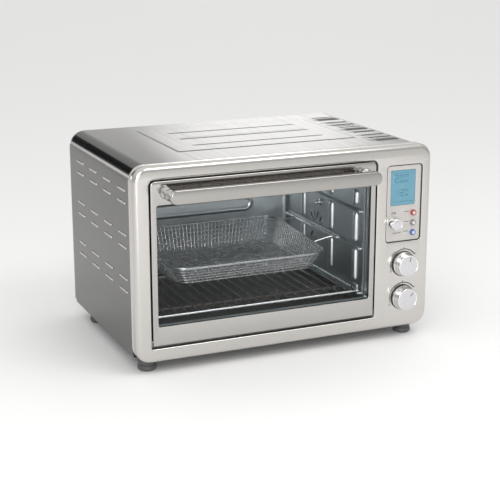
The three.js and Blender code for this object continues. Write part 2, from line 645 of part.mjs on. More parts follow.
function handleBar() {
  const h = HANDLE;
  const half = h.tall / 2;
  const edge = 2;
  const outline = roundedRect(h.left, h.height - half, h.right, h.height + half, half);
  const geometry = new THREE.ExtrudeGeometry(outline, {
    depth: h.thick - 2 * edge,
    bevelThickness: edge,
    bevelSize: edge,
    bevelOffset: -edge,
    bevelSegments: 2,
    curveSegments: 3,
  });
  geometry.translate(0, 0, edge);
  geometry.applyMatrix4(basisFor('y'));
  geometry.translate(0, FACE - HANDLE_REACH + h.thick, 0);
  return solid(geometry);
}

// A turned post: a flange on the door, a slim neck, a rounded bulge and a seat under the bar.
function handlePost(x) {
  const reach = HANDLE_REACH - HANDLE.thick - GAP;
  const profile = [[0, GAP], [9.5, GAP], [9.5, 3], [8, 5.5], [5, 8], [5, 12], [8, 15], [8.8, 20], [8, 25], [6.5, 28]];
  profile.push([6.5, reach], [0, reach]);
  return turned(profile, Y_AXIS.clone().negate(), [x, 0, HANDLE.height], 20);
}

place('door_frame', doorFrame(), ...STEEL);
place('door_glass', block(-223.5, 148.5, 2, 6, 73, 272), ...GLASS);
place('door_liner', doorLiner(), ...CAVITY_STEEL);
place('handle_bar', handleBar(), ...STEEL);
place('handle_post_left', handlePost(POST_X[0]), ...CHROME);
place('handle_post_right', handlePost(POST_X[1]), ...CHROME);

// Each pin crosses the door's edge wall and turns in a bracket behind the fascia.
const PIN_SPANS = { left: [-248, -215], right: [140, 172] };
const BRACKET_SPANS = { left: [-240.5, -233.4], right: [158.4, 165.5] };
const SPRING_STARTS = { left: -246.5, right: 167 };
const BRACKET = { near: 3.4, far: 14, bottom: 44, top: 60 };

function hingeBracket([x0, x1]) {
  const b = BRACKET;
  const bracket = block(x0, x1, b.near, b.far, b.bottom, b.top);
  return cut(bracket, bar('x', HINGE.pin + GAP, x0 - 2, x1 + 2, HINGE.depth, HINGE.height, 12));
}

// A torsion spring of three turns round the pin, with a straight leg at each end.
function hingeSpring(start) {
  const coil = { radius: 3.1, wire: 0.6, turns: 3, pitch: 1.4, steps: 10 };
  const points = [];
  const total = coil.turns * coil.steps;
  for (let i = 0; i <= total; i += 1) {
    const angle = (2 * Math.PI * i) / coil.steps;
    const x = start + (coil.pitch * i) / coil.steps;
    const y = FACE + HINGE.depth + coil.radius * Math.cos(angle);
    points.push(new THREE.Vector3(x, y, HINGE.height + coil.radius * Math.sin(angle)));
  }
  points.unshift(points[0].clone().add(new THREE.Vector3(0, 0, -9)));
  points.push(points[points.length - 1].clone().add(new THREE.Vector3(0, 0, 14)));
  const section = new THREE.Shape();
  section.absarc(0, 0, coil.wire, 0, 2 * Math.PI, false);
  const path = new THREE.CatmullRomCurve3(points, false, 'catmullrom', 0.4);
  return solid(new THREE.ExtrudeGeometry(section, { steps: 40, extrudePath: path, curveSegments: 3 }));
}

for (const side of ['left', 'right']) {
  place(`hinge_pin_${side}`, bar('x', HINGE.pin, ...PIN_SPANS[side], HINGE.depth, HINGE.height, 12), ...ZINC);
  place(`hinge_bracket_${side}`, hingeBracket(BRACKET_SPANS[side]), ...ZINC);
  place(`hinge_spring_${side}`, hingeSpring(SPRING_STARTS[side]), ...ZINC);
}

// ---------------------------------------------------------------- rack, tray and basket

const GUIDE_CLEAR = 0.4;

// Two side wires lie on the guides. Thin rods run front to back between the cross wires.
function wireRack() {
  const r = RACK.wire;
  const z = GUIDE_TOPS[0] + GUIDE_CLEAR + r;
  const left = CAVITY.left + 3.6;
  const right = CAVITY.right - 3.6;
  const crossDepths = [RACK.front, RACK.middle, RACK.rear];
  let rack = wire([left, RACK.front - r, z], [left, RACK.rear + r, z], r);
  rack = join(rack, wire([right, RACK.front - r, z], [right, RACK.rear + r, z], r));
  for (const depth of crossDepths) rack = join(rack, wire([left, depth, z], [right, depth, z], r));
  const pitch = (right - left) / (RACK.rods + 1);
  for (let i = 1; i <= RACK.rods; i += 1) {
    const x = left + i * pitch;
    rack = join(rack, wire([x, RACK.front, z + 1.6], [x, RACK.rear, z + 1.6], RACK.thin, 4));
  }
  return rack;
}

// A flat pan with a low upright edge, just above the cavity's floor.
function crumbTray() {
  const { clear, front, rear, bottom, tall, sheet } = TRAY;
  const [left, right] = [CAVITY.left + clear, CAVITY.right - clear];
  const outer = block(left, right, front, rear, bottom, bottom + tall);
  const hollow = block(left + sheet, right - sheet, front + sheet, rear - sheet, bottom + 1, bottom + tall + 2);
  return cut(outer, hollow);
}

// The rim climbs evenly from the basket's front to its rear.
const rimSlope = (BASKET_RIM.rear - BASKET_RIM.front) / (BASKET.rear - BASKET.front);
const rimHeight = (depth) => BASKET_RIM.front + rimSlope * (depth - BASKET.front);

// The basket's wall: a tapered tray under the rim.
function basketShell(inset, lift) {
  const b = BASKET;
  const rings = [];
  for (const level of [0, 1]) {
    const taper = level === 0 ? b.taper : 0;
    const half = b.half - inset - taper;
    const front = b.front + inset + taper;
    const rear = b.rear - inset - taper;
    const outline = roundedRect(b.centre - half, front, b.centre + half, rear, b.corner - inset);
    const ring = outlinePoints(outline, 2);
    rings.push(ring.map((p) => {
      return new THREE.Vector3(p.x, FACE + p.y, level === 0 ? b.floor + lift : rimHeight(p.y) + lift * 6);
    }));
  }
  return loft(rings[0], rings[1]);
}

// The corners of a closed outline, each one once.
function outlinePoints(shape, divisions) {
  const points = shape.extractPoints(divisions).shape;
  return points.filter((p, i) => p.distanceTo(points[(i + 1) % points.length]) > 0.01);
}

// A closed body between two rings with the same number of points.
function loft(lower, upper) {
  const count = lower.length;
  const all = [...lower, ...upper];
  const index = [];
  for (let i = 0; i < count; i += 1) {
    const next = (i + 1) % count;
    index.push(i, next, count + next, i, count + next, count + i);
  }
  for (let i = 1; i < count - 1; i += 1) {
    index.push(0, i + 1, i);
    index.push(count, count + i, count + i + 1);
  }
  const geometry = new THREE.BufferGeometry();
  geometry.setAttribute('position', new THREE.Float32BufferAttribute(all.flatMap((p) => [p.x, p.y, p.z]), 3));
  geometry.setIndex(index);
  return solid(geometry);
}

function basketMesh() {
  return cut(basketShell(BASKET.inset, 0), basketShell(BASKET.inset + 1.4, 1.4));
}

// A rim round the basket, and a pair of rails on each side that slide on the guides.
function basketFrame() {
  const b = BASKET;
  const w = BASKET_RIM.wire;
  const railHeight = GUIDE_TOPS[1] + GUIDE_CLEAR + 2;
  const rimOutline = (grow) => roundedRect(
    b.centre - b.half - grow, b.front - grow, b.centre + b.half + grow, b.rear + grow, b.corner + grow,
  );
  const outline = rimOutline(w);
  outline.holes.push(rimOutline(-w));
  const ring = new THREE.ExtrudeGeometry(outline, { depth: 2 * w, bevelEnabled: false, curveSegments: 3 });
  ring.applyMatrix4(new THREE.Matrix4().makeShear(0, 0, 0, rimSlope, 0, 0));
  ring.translate(0, FACE, rimHeight(0) - w);
  let frame = solid(ring);
  const rail = BASKET_RAIL;
  for (const side of [-1, 1]) {
    const wall = side < 0 ? CAVITY.left + rail.clear : CAVITY.right - rail.clear;
    const inner = wall - side * rail.apart;
    const rimX = b.centre + side * b.half;
    for (const x of [wall, inner]) {
      frame = join(frame, wire([x, rail.front - 2, railHeight], [x, rail.rear + 2, railHeight], rail.wire));
    }
    for (const depth of [rail.front, rail.rear]) {
      frame = join(frame, wire([wall + side, depth, railHeight], [inner - side, depth, railHeight], rail.wire));
    }
    for (const [from, to] of HANGERS) {
      frame = join(frame, wire([inner, from, railHeight], [rimX, to, rimHeight(to)], rail.wire));
    }
  }
  return frame;
}

place('wire_rack', wireRack(), ...CHROME);
place('crumb_tray', crumbTray(), ...CAVITY_STEEL);
place('basket_mesh', basketMesh(), ...CHROME);
place('basket_frame', basketFrame(), ...CHROME);

export default root;
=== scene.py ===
"""The visual model of a countertop toaster oven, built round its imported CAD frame.

Z is up and the door faces -Y. Sizes are millimetres until put() writes them as metres.
Depths are counted from the fascia's face towards the rear, as in the CAD part.
"""
import math
import bmesh
import bpy
import numpy as np
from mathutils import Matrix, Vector
from mathutils.geometry import tessellate_polygon


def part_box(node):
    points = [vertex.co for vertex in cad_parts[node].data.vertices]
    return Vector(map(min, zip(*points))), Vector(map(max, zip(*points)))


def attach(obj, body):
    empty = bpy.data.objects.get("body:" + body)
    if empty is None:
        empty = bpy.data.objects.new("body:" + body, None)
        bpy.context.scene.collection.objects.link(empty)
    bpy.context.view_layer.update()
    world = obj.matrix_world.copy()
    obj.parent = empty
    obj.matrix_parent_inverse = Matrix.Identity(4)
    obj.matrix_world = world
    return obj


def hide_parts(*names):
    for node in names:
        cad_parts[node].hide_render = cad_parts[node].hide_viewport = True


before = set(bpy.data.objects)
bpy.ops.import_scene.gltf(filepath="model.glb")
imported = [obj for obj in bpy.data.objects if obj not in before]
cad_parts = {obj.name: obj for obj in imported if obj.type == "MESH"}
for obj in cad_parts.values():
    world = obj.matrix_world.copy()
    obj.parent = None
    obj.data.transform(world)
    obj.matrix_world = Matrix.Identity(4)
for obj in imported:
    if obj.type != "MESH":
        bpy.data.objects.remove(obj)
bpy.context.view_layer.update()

MM = 0.001


def box(node):
    """The lowest and highest corners of a CAD node, in millimetres."""
    low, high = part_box(node)
    return np.array(low) / MM, np.array(high) / MM


def middle(node):
    """The middle of a CAD node's box, in millimetres."""
    low, high = box(node)
    return (low + high) / 2


FACE = box("front_fascia")[0][1]


# ---------------------------------------------------------------- surfaces

FRONT = ((1, 0, 0), (0, 0, 1), (0, 1, 0))
UP = ((1, 0, 0), (0, 1, 0), (0, 0, -1))
INTO_LEFT = ((0, 1, 0), (0, 0, 1), (-1, 0, 0))
INTO_RIGHT = ((0, 1, 0), (0, 0, 1), (1, 0, 0))
NO_FACES = np.empty((0, 3), int)


def unit(vectors):
    """Each vector divided by its own length."""
    vectors = np.asarray(vectors, float)
    return vectors / np.linalg.norm(vectors, axis=-1, keepdims=True)


def smooth_step(low, high, value):
    """0 below low, 1 above high, and 3t^2 - 2t^3 between them."""
    t = np.clip((value - low) / (high - low), 0, 1)
    return t * t * (3 - 2 * t)


def grid(rows, columns, wrap_rows=False, wrap_columns=False):
    """Quads between neighbours on a grid of points; a wrapped side joins its last line to its first."""
    last_row, last_column = rows - (not wrap_rows), columns - (not wrap_columns)
    i, j = np.meshgrid(np.arange(last_row), np.arange(last_column), indexing="ij")
    below, beside = (i + 1) % rows, (j + 1) % columns
    corners = [i * columns + j, i * columns + beside, below * columns + beside, below * columns + j]
    return np.stack(corners, -1).reshape(-1, 4)


def together(*shapes):
    """Several shapes as one: their points are stacked and their faces renumbered to match."""
    starts = np.cumsum([0] + [len(s[0]) for s in shapes[:-1]])
    points = np.concatenate([s[0] for s in shapes])
    quads = np.concatenate([s[1] + start for s, start in zip(shapes, starts)])
    triangles = np.concatenate([s[2] + start for s, start in zip(shapes, starts)])
    return points, quads, triangles


def soften(points, radius, steps=4):
    """Each inner corner becomes the curve (1-t)^2 a + 2t(1-t) corner + t^2 b, a and b being radius away."""
    points = np.asarray(points, float)
    corner = points[1:-1]

    def leg(neighbours):
        """The point radius away from each corner towards its neighbour, at most 0.48 of the way."""
        away = neighbours - corner
        length = np.linalg.norm(away, axis=1, keepdims=True)
        return corner + away / length * np.minimum(radius, 0.48 * length)

    a, b = leg(points[:-2])[:, None], leg(points[2:])[:, None]
    t = np.linspace(0, 1, steps + 1)[None, :, None]
    curve = (1 - t) ** 2 * a + 2 * t * (1 - t) * corner[:, None] + t ** 2 * b
    return np.vstack([points[:1], curve.reshape(-1, points.shape[1]), points[-1:]])


def turned(profile, axis, origin, segments=48):
    """Profile points (reach, radius) carried round an axis: origin + reach axis + radius (cos, sin)."""
    reach, radius = np.asarray(profile, float).T[:, :, None, None]
    axis = unit(axis)
    side = unit(np.cross(axis, (0.3, 0.5, 0.8)))
    angle = np.linspace(0, 2 * np.pi, segments, endpoint=False)[:, None]
    ring = np.cos(angle) * side + np.sin(angle) * np.cross(axis, side)
    points = np.asarray(origin, float) + reach * axis + radius * ring
    return points.reshape(-1, 3), grid(len(profile), segments, wrap_columns=True), NO_FACES


def tubes(paths, radius, sides=8, across=(0, 0, 1), closed=False):
    """A circle carried along each path, square to it: path + radius (cos u + sin v).
    The ends of an open path are drawn to a point."""
    paths = np.asarray(paths, float)
    paths = paths[None] if paths.ndim == 2 else paths
    if closed:
        tangent = np.roll(paths, -1, 1) - np.roll(paths, 1, 1)
    else:
        tangent = np.gradient(paths, axis=1)
    u = unit(np.cross(tangent, across))
    v = unit(np.cross(tangent, u))
    angle = np.linspace(0, 2 * np.pi, sides, endpoint=False)[:, None]
    rings = paths[:, :, None] + radius * (np.cos(angle) * u[:, :, None] + np.sin(angle) * v[:, :, None])
    if not closed:
        first = np.repeat(paths[:, :1, None], sides, axis=2)
        last = np.repeat(paths[:, -1:, None], sides, axis=2)
        rings = np.concatenate([first, rings, last], axis=1)
    count, rows = rings.shape[:2]
    one = grid(rows, sides, wrap_rows=closed, wrap_columns=True)
    starts = np.arange(count)[:, None, None] * rows * sides
    return rings.reshape(-1, 3), (one + starts).reshape(-1, 4), NO_FACES


def rounded(left, right, bottom, top, radii, steps=6):
    """A rounded rectangle as corner centres, radii, directions and corner signs, so that it can be grown.
    radii run from the right top corner over left top and left bottom to right bottom."""
    radii = np.broadcast_to(np.asarray(radii, float), 4)
    signs = np.array([(1, 1), (-1, 1), (-1, -1), (1, -1)], float)
    corner = np.array([(right, top), (left, top), (left, bottom), (right, bottom)]) - signs * radii[:, None]
    angle = ((np.arange(4)[:, None] + np.linspace(0, 1, steps + 1)) * np.pi / 2).ravel()
    corner, radii, signs = [np.repeat(values, steps + 1, axis=0) for values in (corner, radii, signs)]
    outline = corner, radii, np.stack([np.cos(angle), np.sin(angle)], -1), signs
    base = grown(outline, 0)
    fresh = np.linalg.norm(base - np.roll(base, -1, 0), axis=1) > 1e-6
    return tuple(part[fresh] for part in outline)


def circle(x, y, radius, steps=6):
    """A circle, given as the rounded rectangle that is all corner."""
    return rounded(x - radius, x + radius, y - radius, y + radius, radius, steps)


def grown(outline, grow):
    """The outline moved outwards by grow: centre + (radius + grow) direction.
    Where radius + grow is below zero the corner is square."""
    centre, radius, direction, sign = outline
    reach = (radius + grow)[:, None]
    return centre + np.maximum(reach, 0) * direction + np.minimum(reach, 0) * sign


def spun(outline, angle, x, y):
    """An outline turned by angle about the point x, y."""
    turn = np.array([(math.cos(angle), -math.sin(angle)), (math.sin(angle), math.cos(angle))])
    centre, radius, direction, sign = outline
    pivot = np.array((x, y))
    return (centre - pivot) @ turn.T + pivot, radius, direction @ turn.T, sign @ turn.T


def laid(flat, depth, facing, origin):
    """Drawing points and a depth put in place: origin + a right + b up + depth inwards."""
    right, up, inwards = np.array(facing, float)
    return np.asarray(origin, float) + flat[:, :1] * right + flat[:, 1:] * up + depth * inwards


def ring(outline, profile, facing=FRONT, origin=(0, 0, 0)):
    """A closed profile of (grow, depth) carried round an outline."""
    points = np.concatenate([laid(grown(outline, grow), depth, facing, origin) for grow, depth in profile])
    return points, grid(len(profile), len(outline[0]), wrap_rows=True, wrap_columns=True), NO_FACES


def sheet(borders, facing=FRONT, origin=(0, 0, 0)):
    """A flat sheet with holes. borders is a list of (outline, profile of (grow, depth)), the outer one first.
    Each profile is carried round its outline. The front is filled between the profiles' first rows
    and the back between their last rows."""
    shapes, fronts, backs, start = [], [], [], 0
    for outline, profile in borders:
        count = len(outline[0])
        rows = [laid(grown(outline, grow), depth, facing, origin) for grow, depth in profile]
        shapes.append((np.concatenate(rows), grid(len(rows), count, wrap_columns=True), NO_FACES))
        fronts.append((grown(outline, profile[0][0]), start))
        backs.append((grown(outline, profile[-1][0]), start + (len(rows) - 1) * count))
        start += len(rows) * count
    caps = []
    for loops in (fronts, backs):
        numbers = np.concatenate([first + np.arange(len(loop)) for loop, first in loops])
        loops3d = [[Vector((a, b, 0)) for a, b in loop] for loop, _ in loops]
        caps.append(numbers[np.array(tessellate_polygon(loops3d))])
    points, quads, _ = together(*shapes)
    return points, quads, np.concatenate(caps)


def edge(thick, radius, grow=0.0, inwards=False, steps=3):
    """A rounded rim: a quarter circle from the front face, a straight side, a quarter circle to the back."""
    angle = np.linspace(0, np.pi / 2, steps + 1)
    inset, depth = radius * (1 - np.sin(angle)), radius * (1 - np.cos(angle))
    front = np.stack([grow - inset if not inwards else grow + inset, depth], -1)
    back = np.stack([front[::-1, 0], thick - front[::-1, 1]], -1)
    return np.vstack([front, back])


# ---------------------------------------------------------------- pieces

def put(name, shape, material, body, replaces=(), closed=True, sharp=32):
    points, quads, triangles = shape
    mesh = bpy.data.meshes.new(name)
    mesh.from_pydata(points * MM, [], quads.tolist() + triangles.tolist())
    work = bmesh.new()
    work.from_mesh(mesh)
    bmesh.ops.remove_doubles(work, verts=work.verts, dist=2e-7)
    bmesh.ops.dissolve_degenerate(work, edges=work.edges, dist=1e-7)
    if closed:
        bmesh.ops.recalc_face_normals(work, faces=work.faces)
    work.to_mesh(mesh)
    work.free()
    mesh.polygons.foreach_set("use_smooth", np.ones(len(mesh.polygons), bool))
    mesh.set_sharp_from_angle(angle=math.radians(sharp))
    if not closed:
        keep_border_sharp(mesh)
    mesh.materials.append(material)
    piece = bpy.data.objects.new(name, mesh)
    bpy.context.scene.collection.objects.link(piece)
    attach(piece, body)
    if replaces:
        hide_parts(*replaces)
    return piece


def keep_border_sharp(mesh):
    """Marks an open sheet's border sharp, so that its cut edges don't bend the shading beside them."""
    edges = np.empty(len(mesh.loops), int)
    mesh.loops.foreach_get("edge_index", edges)
    marked = np.empty(len(mesh.edges), bool)
    mesh.edges.foreach_get("use_edge_sharp", marked)
    border = np.bincount(edges, minlength=len(mesh.edges)) == 1
    mesh.edges.foreach_set("use_edge_sharp", marked | border)


def dress(material, *nodes):
    """Gives CAD nodes that stay in sight a finish."""
    for name in nodes:
        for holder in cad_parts[name].material_slots:
            holder.material = material


# ---------------------------------------------------------------- materials

def finish(name, colour, metallic=0.0, roughness=0.4, **sockets):
    """A Principled material. Values that are the same all over sit on the shader's own sockets."""
    material = bpy.data.materials.new(name)
    material.use_nodes = True
    shader = material.node_tree.nodes["Principled BSDF"]
    shader.inputs["Base Color"].default_value = (*colour, 1)
    shader.inputs["Metallic"].default_value = metallic
    shader.inputs["Roughness"].default_value = roughness
    for key, value in sockets.items():
        shader.inputs[key.replace("_", " ")].default_value = value
    return material


def noise(material, scale, detail=3.0):
    """Noise on Object coordinates, stretched by a scale in cycles per metre along each axis."""
    nodes, links = material.node_tree.nodes, material.node_tree.links
    place = nodes.new("ShaderNodeTexCoord")
    stretch = nodes.new("ShaderNodeMapping")
    stretch.inputs["Scale"].default_value = scale
    texture = nodes.new("ShaderNodeTexNoise")
    texture.inputs["Scale"].default_value = 1.0
    texture.inputs["Detail"].default_value = detail
    links.new(place.outputs["Object"], stretch.inputs["Vector"])
    links.new(stretch.outputs["Vector"], texture.inputs["Vector"])
    return texture.outputs[0]


def vary_roughness(material, pattern, low, high):
    """Spreads roughness from low to high over a pattern."""
    nodes, links = material.node_tree.nodes, material.node_tree.links
    spread = nodes.new("ShaderNodeMapRange")
    spread.inputs["From Min"].default_value = 0.3
    spread.inputs["From Max"].default_value = 0.7
    spread.inputs["To Min"].default_value = low
    spread.inputs["To Max"].default_value = high
    links.new(pattern, spread.inputs["Value"])
    links.new(spread.outputs["Result"], nodes["Principled BSDF"].inputs["Roughness"])


def vary_colour(material, pattern, first, second, low=0.3, high=0.7):
    """Runs the base colour from first to second over a pattern."""
    nodes, links = material.node_tree.nodes, material.node_tree.links
    ramp = nodes.new("ShaderNodeValToRGB")
    ramp.color_ramp.elements[0].position = low
    ramp.color_ramp.elements[1].position = high
    ramp.color_ramp.elements[0].color = (*first, 1)
    ramp.color_ramp.elements[1].color = (*second, 1)
    links.new(pattern, ramp.inputs["Fac"])
    links.new(ramp.outputs["Color"], nodes["Principled BSDF"].inputs["Base Color"])


def roughen(material, pattern, depth, strength=1.0):
    """Bumps the surface by a pattern; depth is in metres."""
    nodes, links = material.node_tree.nodes, material.node_tree.links
    bump = nodes.new("ShaderNodeBump")
    bump.inputs["Strength"].default_value = strength
    bump.inputs["Distance"].default_value = depth
    links.new(pattern, bump.inputs["Height"])
    links.new(bump.outputs["Normal"], nodes["Principled BSDF"].inputs["Normal"])


def brushed(name, colour, grain, roughness, contrast=0.035, depth=4e-6):
    """Brushed steel: fine lines along one axis move its colour, roughness and normal."""
    material = finish(name, colour, metallic=1.0, roughness=roughness)
    lines = noise(material, grain)
    tint = np.array(colour)
    vary_colour(material, lines, tuple(tint * (1 - contrast)), tuple(np.minimum(tint * (1 + contrast), 1)))
    vary_roughness(material, lines, roughness - 0.05, roughness + 0.05)
    roughen(material, lines, depth)
    return material


def aluminised(name, colour):
    """Aluminised sheet: faint crystal patches a few millimetres wide over a soft sheen."""
    material = finish(name, colour, metallic=1.0, roughness=0.32)
    patches = noise(material, (130, 130, 130), detail=2.0)
    tint = np.array(colour)
    vary_colour(material, patches, tuple(tint * 0.95), tuple(np.minimum(tint * 1.03, 1)))
    vary_roughness(material, patches, 0.3, 0.34)
    roughen(material, noise(material, (420, 420, 420)), 3e-6)
    return material


def polished(name, colour, roughness):
    """Bright plating, with faint wipe marks in its roughness."""
    material = finish(name, colour, metallic=1.0, roughness=roughness)
    vary_roughness(material, noise(material, (90, 90, 90)), roughness * 0.6, roughness * 1.7)
    return material


def moulded(name, colour, roughness, grain=900, depth=1e-5, **sockets):
    """Moulded plastic or rubber: an even colour with a fine spark-eroded grain."""
    material = finish(name, colour, roughness=roughness, **sockets)
    pattern = noise(material, (grain, grain, grain), detail=2.0)
    tint = np.array(colour)
    vary_colour(material, pattern, tuple(tint * 0.88), tuple(np.minimum(tint * 1.12, 1)))
    vary_roughness(material, pattern, roughness - 0.08, roughness + 0.08)
    roughen(material, pattern, depth)
    return material


def window_glass(name):
    """Clear tempered glass as a thin film with a soft sheen and a trace of dust."""
    material = finish(name, (0.02, 0.025, 0.025), roughness=0.04, Alpha=0.08, Specular_IOR_Level=0.8)
    vary_roughness(material, noise(material, (35, 35, 35)), 0.03, 0.09)
    return material


ALONG_X = (2.5, 900, 900)
ALONG_Y = (900, 2.5, 900)

fascia_steel = brushed("fascia_steel", (0.6, 0.583, 0.56), ALONG_X, 0.2)
door_steel = brushed("door_steel", (0.47, 0.457, 0.44), ALONG_X, 0.13)
handle_steel = brushed("handle_steel", (0.4, 0.388, 0.37), ALONG_X, 0.2)
casing_steel = brushed("casing_steel", (0.118, 0.115, 0.114), ALONG_Y, 0.16, contrast=0.06)
# The hoods' steel is about four times as bright as the casing's, though both are one sheet: a painted
# highlight on the hoods.
hood_highlight_steel = brushed("hood_highlight_steel", (0.5, 0.49, 0.48), ALONG_Y, 0.24)
cavity_steel = aluminised("cavity_steel", (0.6, 0.65, 0.67))
# The pads' steel is brighter than the cavity steel they are pressed from: a painted highlight.
pad_highlight_steel = aluminised("pad_highlight_steel", (0.9, 0.93, 0.94))
zinc_steel = aluminised("zinc_steel", (0.55, 0.56, 0.57))
chrome = polished("chrome", (0.85, 0.85, 0.85), 0.09)
# The posts' chrome is a darkened copy of the bright chrome: painted shade on the handle posts.
post_shaded_chrome = polished("post_shaded_chrome", (0.5, 0.49, 0.48), 0.16)
# The rods' steel is a darkened copy of the rack's wire chrome: painted shade on the rods.
rod_shaded_steel = polished("rod_shaded_steel", (0.3, 0.29, 0.27), 0.3)
tray_steel = aluminised("tray_steel", (0.15, 0.132, 0.105))
wire_chrome = polished("wire_chrome", (0.8, 0.82, 0.84), 0.2)
satin_chrome = brushed("satin_chrome", (0.66, 0.65, 0.67), (300, 300, 300), 0.24, contrast=0.02, depth=2e-6)
fan_aluminium = brushed("fan_aluminium", (0.6, 0.61, 0.62), (200, 200, 200), 0.4)
heater_sheath = moulded("heater_sheath", (0.09, 0.085, 0.08), 0.5, grain=500)
panel_silver = moulded("panel_silver", (0.56, 0.54, 0.52), 0.38, Metallic=0.55)
black_plastic = moulded("black_plastic", (0.018, 0.018, 0.02), 0.42)
foot_rubber = moulded("foot_rubber", (0.085, 0.084, 0.086), 0.5)
tick_paint = moulded("tick_paint", (0.05, 0.05, 0.055), 0.5)
board_green = moulded("board_green", (0.02, 0.12, 0.05), 0.5, grain=300)
lcd_blue = moulded("lcd_blue", (0.09, 0.27, 0.36), 0.18, grain=1500, depth=1e-6, Coat_Weight=1.0)
lcd_mark = moulded("lcd_mark", (0.06, 0.18, 0.25), 0.3)
button_red = moulded("button_red", (0.5, 0.07, 0.06), 0.3)
button_grey = moulded("button_grey", (0.3, 0.3, 0.3), 0.3)
button_blue = moulded("button_blue", (0.07, 0.17, 0.5), 0.3)
button_pale = moulded("button_pale", (0.62, 0.62, 0.64), 0.35)
door_glass = window_glass("door_glass")


# ---------------------------------------------------------------- casing

SIDE_SLOTS = {"starts": (38, 111, 184, 257), "length": 43, "rows": (124.5, 144.5, 194.5, 214.5, 264.5, 284)}
HOOD = {"proud": 1.5, "above": 2.5, "below": 1.5, "inset": 3.5, "round": 1.3, "foot": 0.1, "clear": 0.1}
HOOD_CUT = {"tall": 0.4, "inset": 4.5}
TOP_SLOTS = {"left": 186, "right": 224, "first": 56.8, "pitch": 26.5, "wide": 3.4, "count": 10}
SLOT_DIP = 1.1
SLOT_RIM = 1.6
TOP_PANEL = {"left": -150, "right": 167, "front": 92, "rear": 299, "step": 5, "press": 0.6, "guard": 0.7}
TOP_RIBS = {"left": -112, "right": 128, "depths": (136, 192, 249), "half": 3, "sunk": 0.45, "fade": 8}
RIB_STRETCH = 1.6
CASING = {"corner": 27, "bottom": 30, "flange": 9, "sheet": 0.9, "front": 25.3, "low_rows": (60, 100)}
NEAR_SKIN = 5


def casing_lines():
    """Grid lines of the casing: heights on its sides, places across its top and depths."""
    slot, top, panel, rib = SIDE_SLOTS, TOP_SLOTS, TOP_PANEL, TOP_RIBS
    mouth = HOOD["below"] + HOOD_CUT["tall"]
    heights = np.concatenate([(row - mouth, row - HOOD["below"]) for row in slot["rows"]])
    ends = np.array((0, HOOD_CUT["inset"]))
    depths = [start + np.concatenate([ends, slot["length"] - ends]) for start in slot["starts"]]
    firsts = top["first"] + top["pitch"] * np.arange(top["count"])
    depths += [firsts + shift for shift in (-SLOT_RIM, 0, top["wide"], top["wide"] + SLOT_RIM)]
    fall = np.linspace(0, panel["step"], 5)
    fall = np.concatenate([[-panel["guard"]], fall, [panel["step"] + panel["guard"]]])
    rib_fall = RIB_STRETCH * fall
    depths += [panel["front"] + fall, panel["rear"] - fall]
    depths += [depth + rib["half"] * np.linspace(-1, 1, 7) for depth in rib["depths"]]
    across = [(top["left"] - SLOT_RIM, top["left"], top["right"], top["right"] + SLOT_RIM)]
    across += [panel["left"] + fall, panel["right"] - fall, rib["left"] + rib_fall, rib["right"] - rib_fall]
    return np.unique(heights), np.unique(np.concatenate(across)), np.unique(np.concatenate(depths))


def casing_press(x, depth, nz, on_side):
    """How far the sheet stands inside the casing's box at each point. The sides stand in by the hoods'
    height, and the top by the step round its raised panel, by its ribs and by the dip at each top slot."""
    top, panel, rib = TOP_SLOTS, TOP_PANEL, TOP_RIBS
    press = HOOD["proud"] * np.sqrt(np.clip(1 - nz ** 2, 0, 1)) * np.ones(np.broadcast(x, depth).shape)
    top_share = np.where(on_side, 0, np.clip(nz, 0, 1))
    inside = smooth_step(panel["left"], panel["left"] + panel["step"], x)
    inside = inside - smooth_step(panel["right"] - panel["step"], panel["right"], x)
    front = smooth_step(panel["front"], panel["front"] + panel["step"], depth)
    front = front - smooth_step(panel["rear"] - panel["step"], panel["rear"], depth)
    press += panel["press"] * (1 - inside * front) * top_share
    along = smooth_step(rib["left"], rib["left"] + rib["fade"], x)
    along = along - smooth_step(rib["right"] - rib["fade"], rib["right"], x)
    for centre in rib["depths"]:
        press += rib["sunk"] * along * (1 - smooth_step(0, rib["half"], np.abs(depth - centre))) * top_share
    for number in range(top["count"]):
        first = top["first"] + number * top["pitch"]
        near = (depth > first - 1) & (depth < first + top["wide"] + 1)
        press += SLOT_DIP * near * (x > top["left"] - 1) * (x < top["right"] + 1) * top_share
    return press


def casing_shape():
    """The casing's bent section carried from front to rear, pressed inwards along its own normal.
    The section runs up the left side, round a quarter circle, across the top and down the right side."""
    high = box("outer_casing")[1]
    half, top, corner = high[0], high[2], CASING["corner"]
    heights, across, depths = casing_lines()
    heights = np.concatenate([[CASING["bottom"], *CASING["low_rows"]], heights, [top - corner]])
    angle = np.linspace(0, np.pi / 2, 9)[1:-1]
    side = [(-half, z, -1, 0) for z in heights]
    inwards, down = corner * (1 - np.cos(angle)), corner * (1 - np.sin(angle))
    bend = np.stack([-half + inwards, top - down, -np.cos(angle), np.sin(angle)], -1).tolist()
    across = np.concatenate([[-half + corner], across[np.abs(across) < half - corner], [half - corner]])
    left = np.array([(-half + CASING["flange"], CASING["bottom"], 0, -1)] + side + bend)
    middle = np.array([(x, top, 0, 1) for x in across])
    section = np.vstack([left, middle, left[::-1] * (-1, 1, -1, 1)])
    depths = np.concatenate([[CASING["front"]], depths, [high[1] - FACE]])
    x, z, nx, nz = section.T[:, :, None]
    on_side = np.abs(nx) > 0.99
    press = casing_press(x, depths[None], nz, on_side)
    points = np.stack(np.broadcast_arrays(x - press * nx, FACE + depths[None], z - press * nz), -1)
    quads = grid(len(section), len(depths))
    centre = points.reshape(-1, 3)[quads].mean(1)
    return points.reshape(-1, 3), quads[~cut_through(centre, half, top)][:, ::-1], NO_FACES


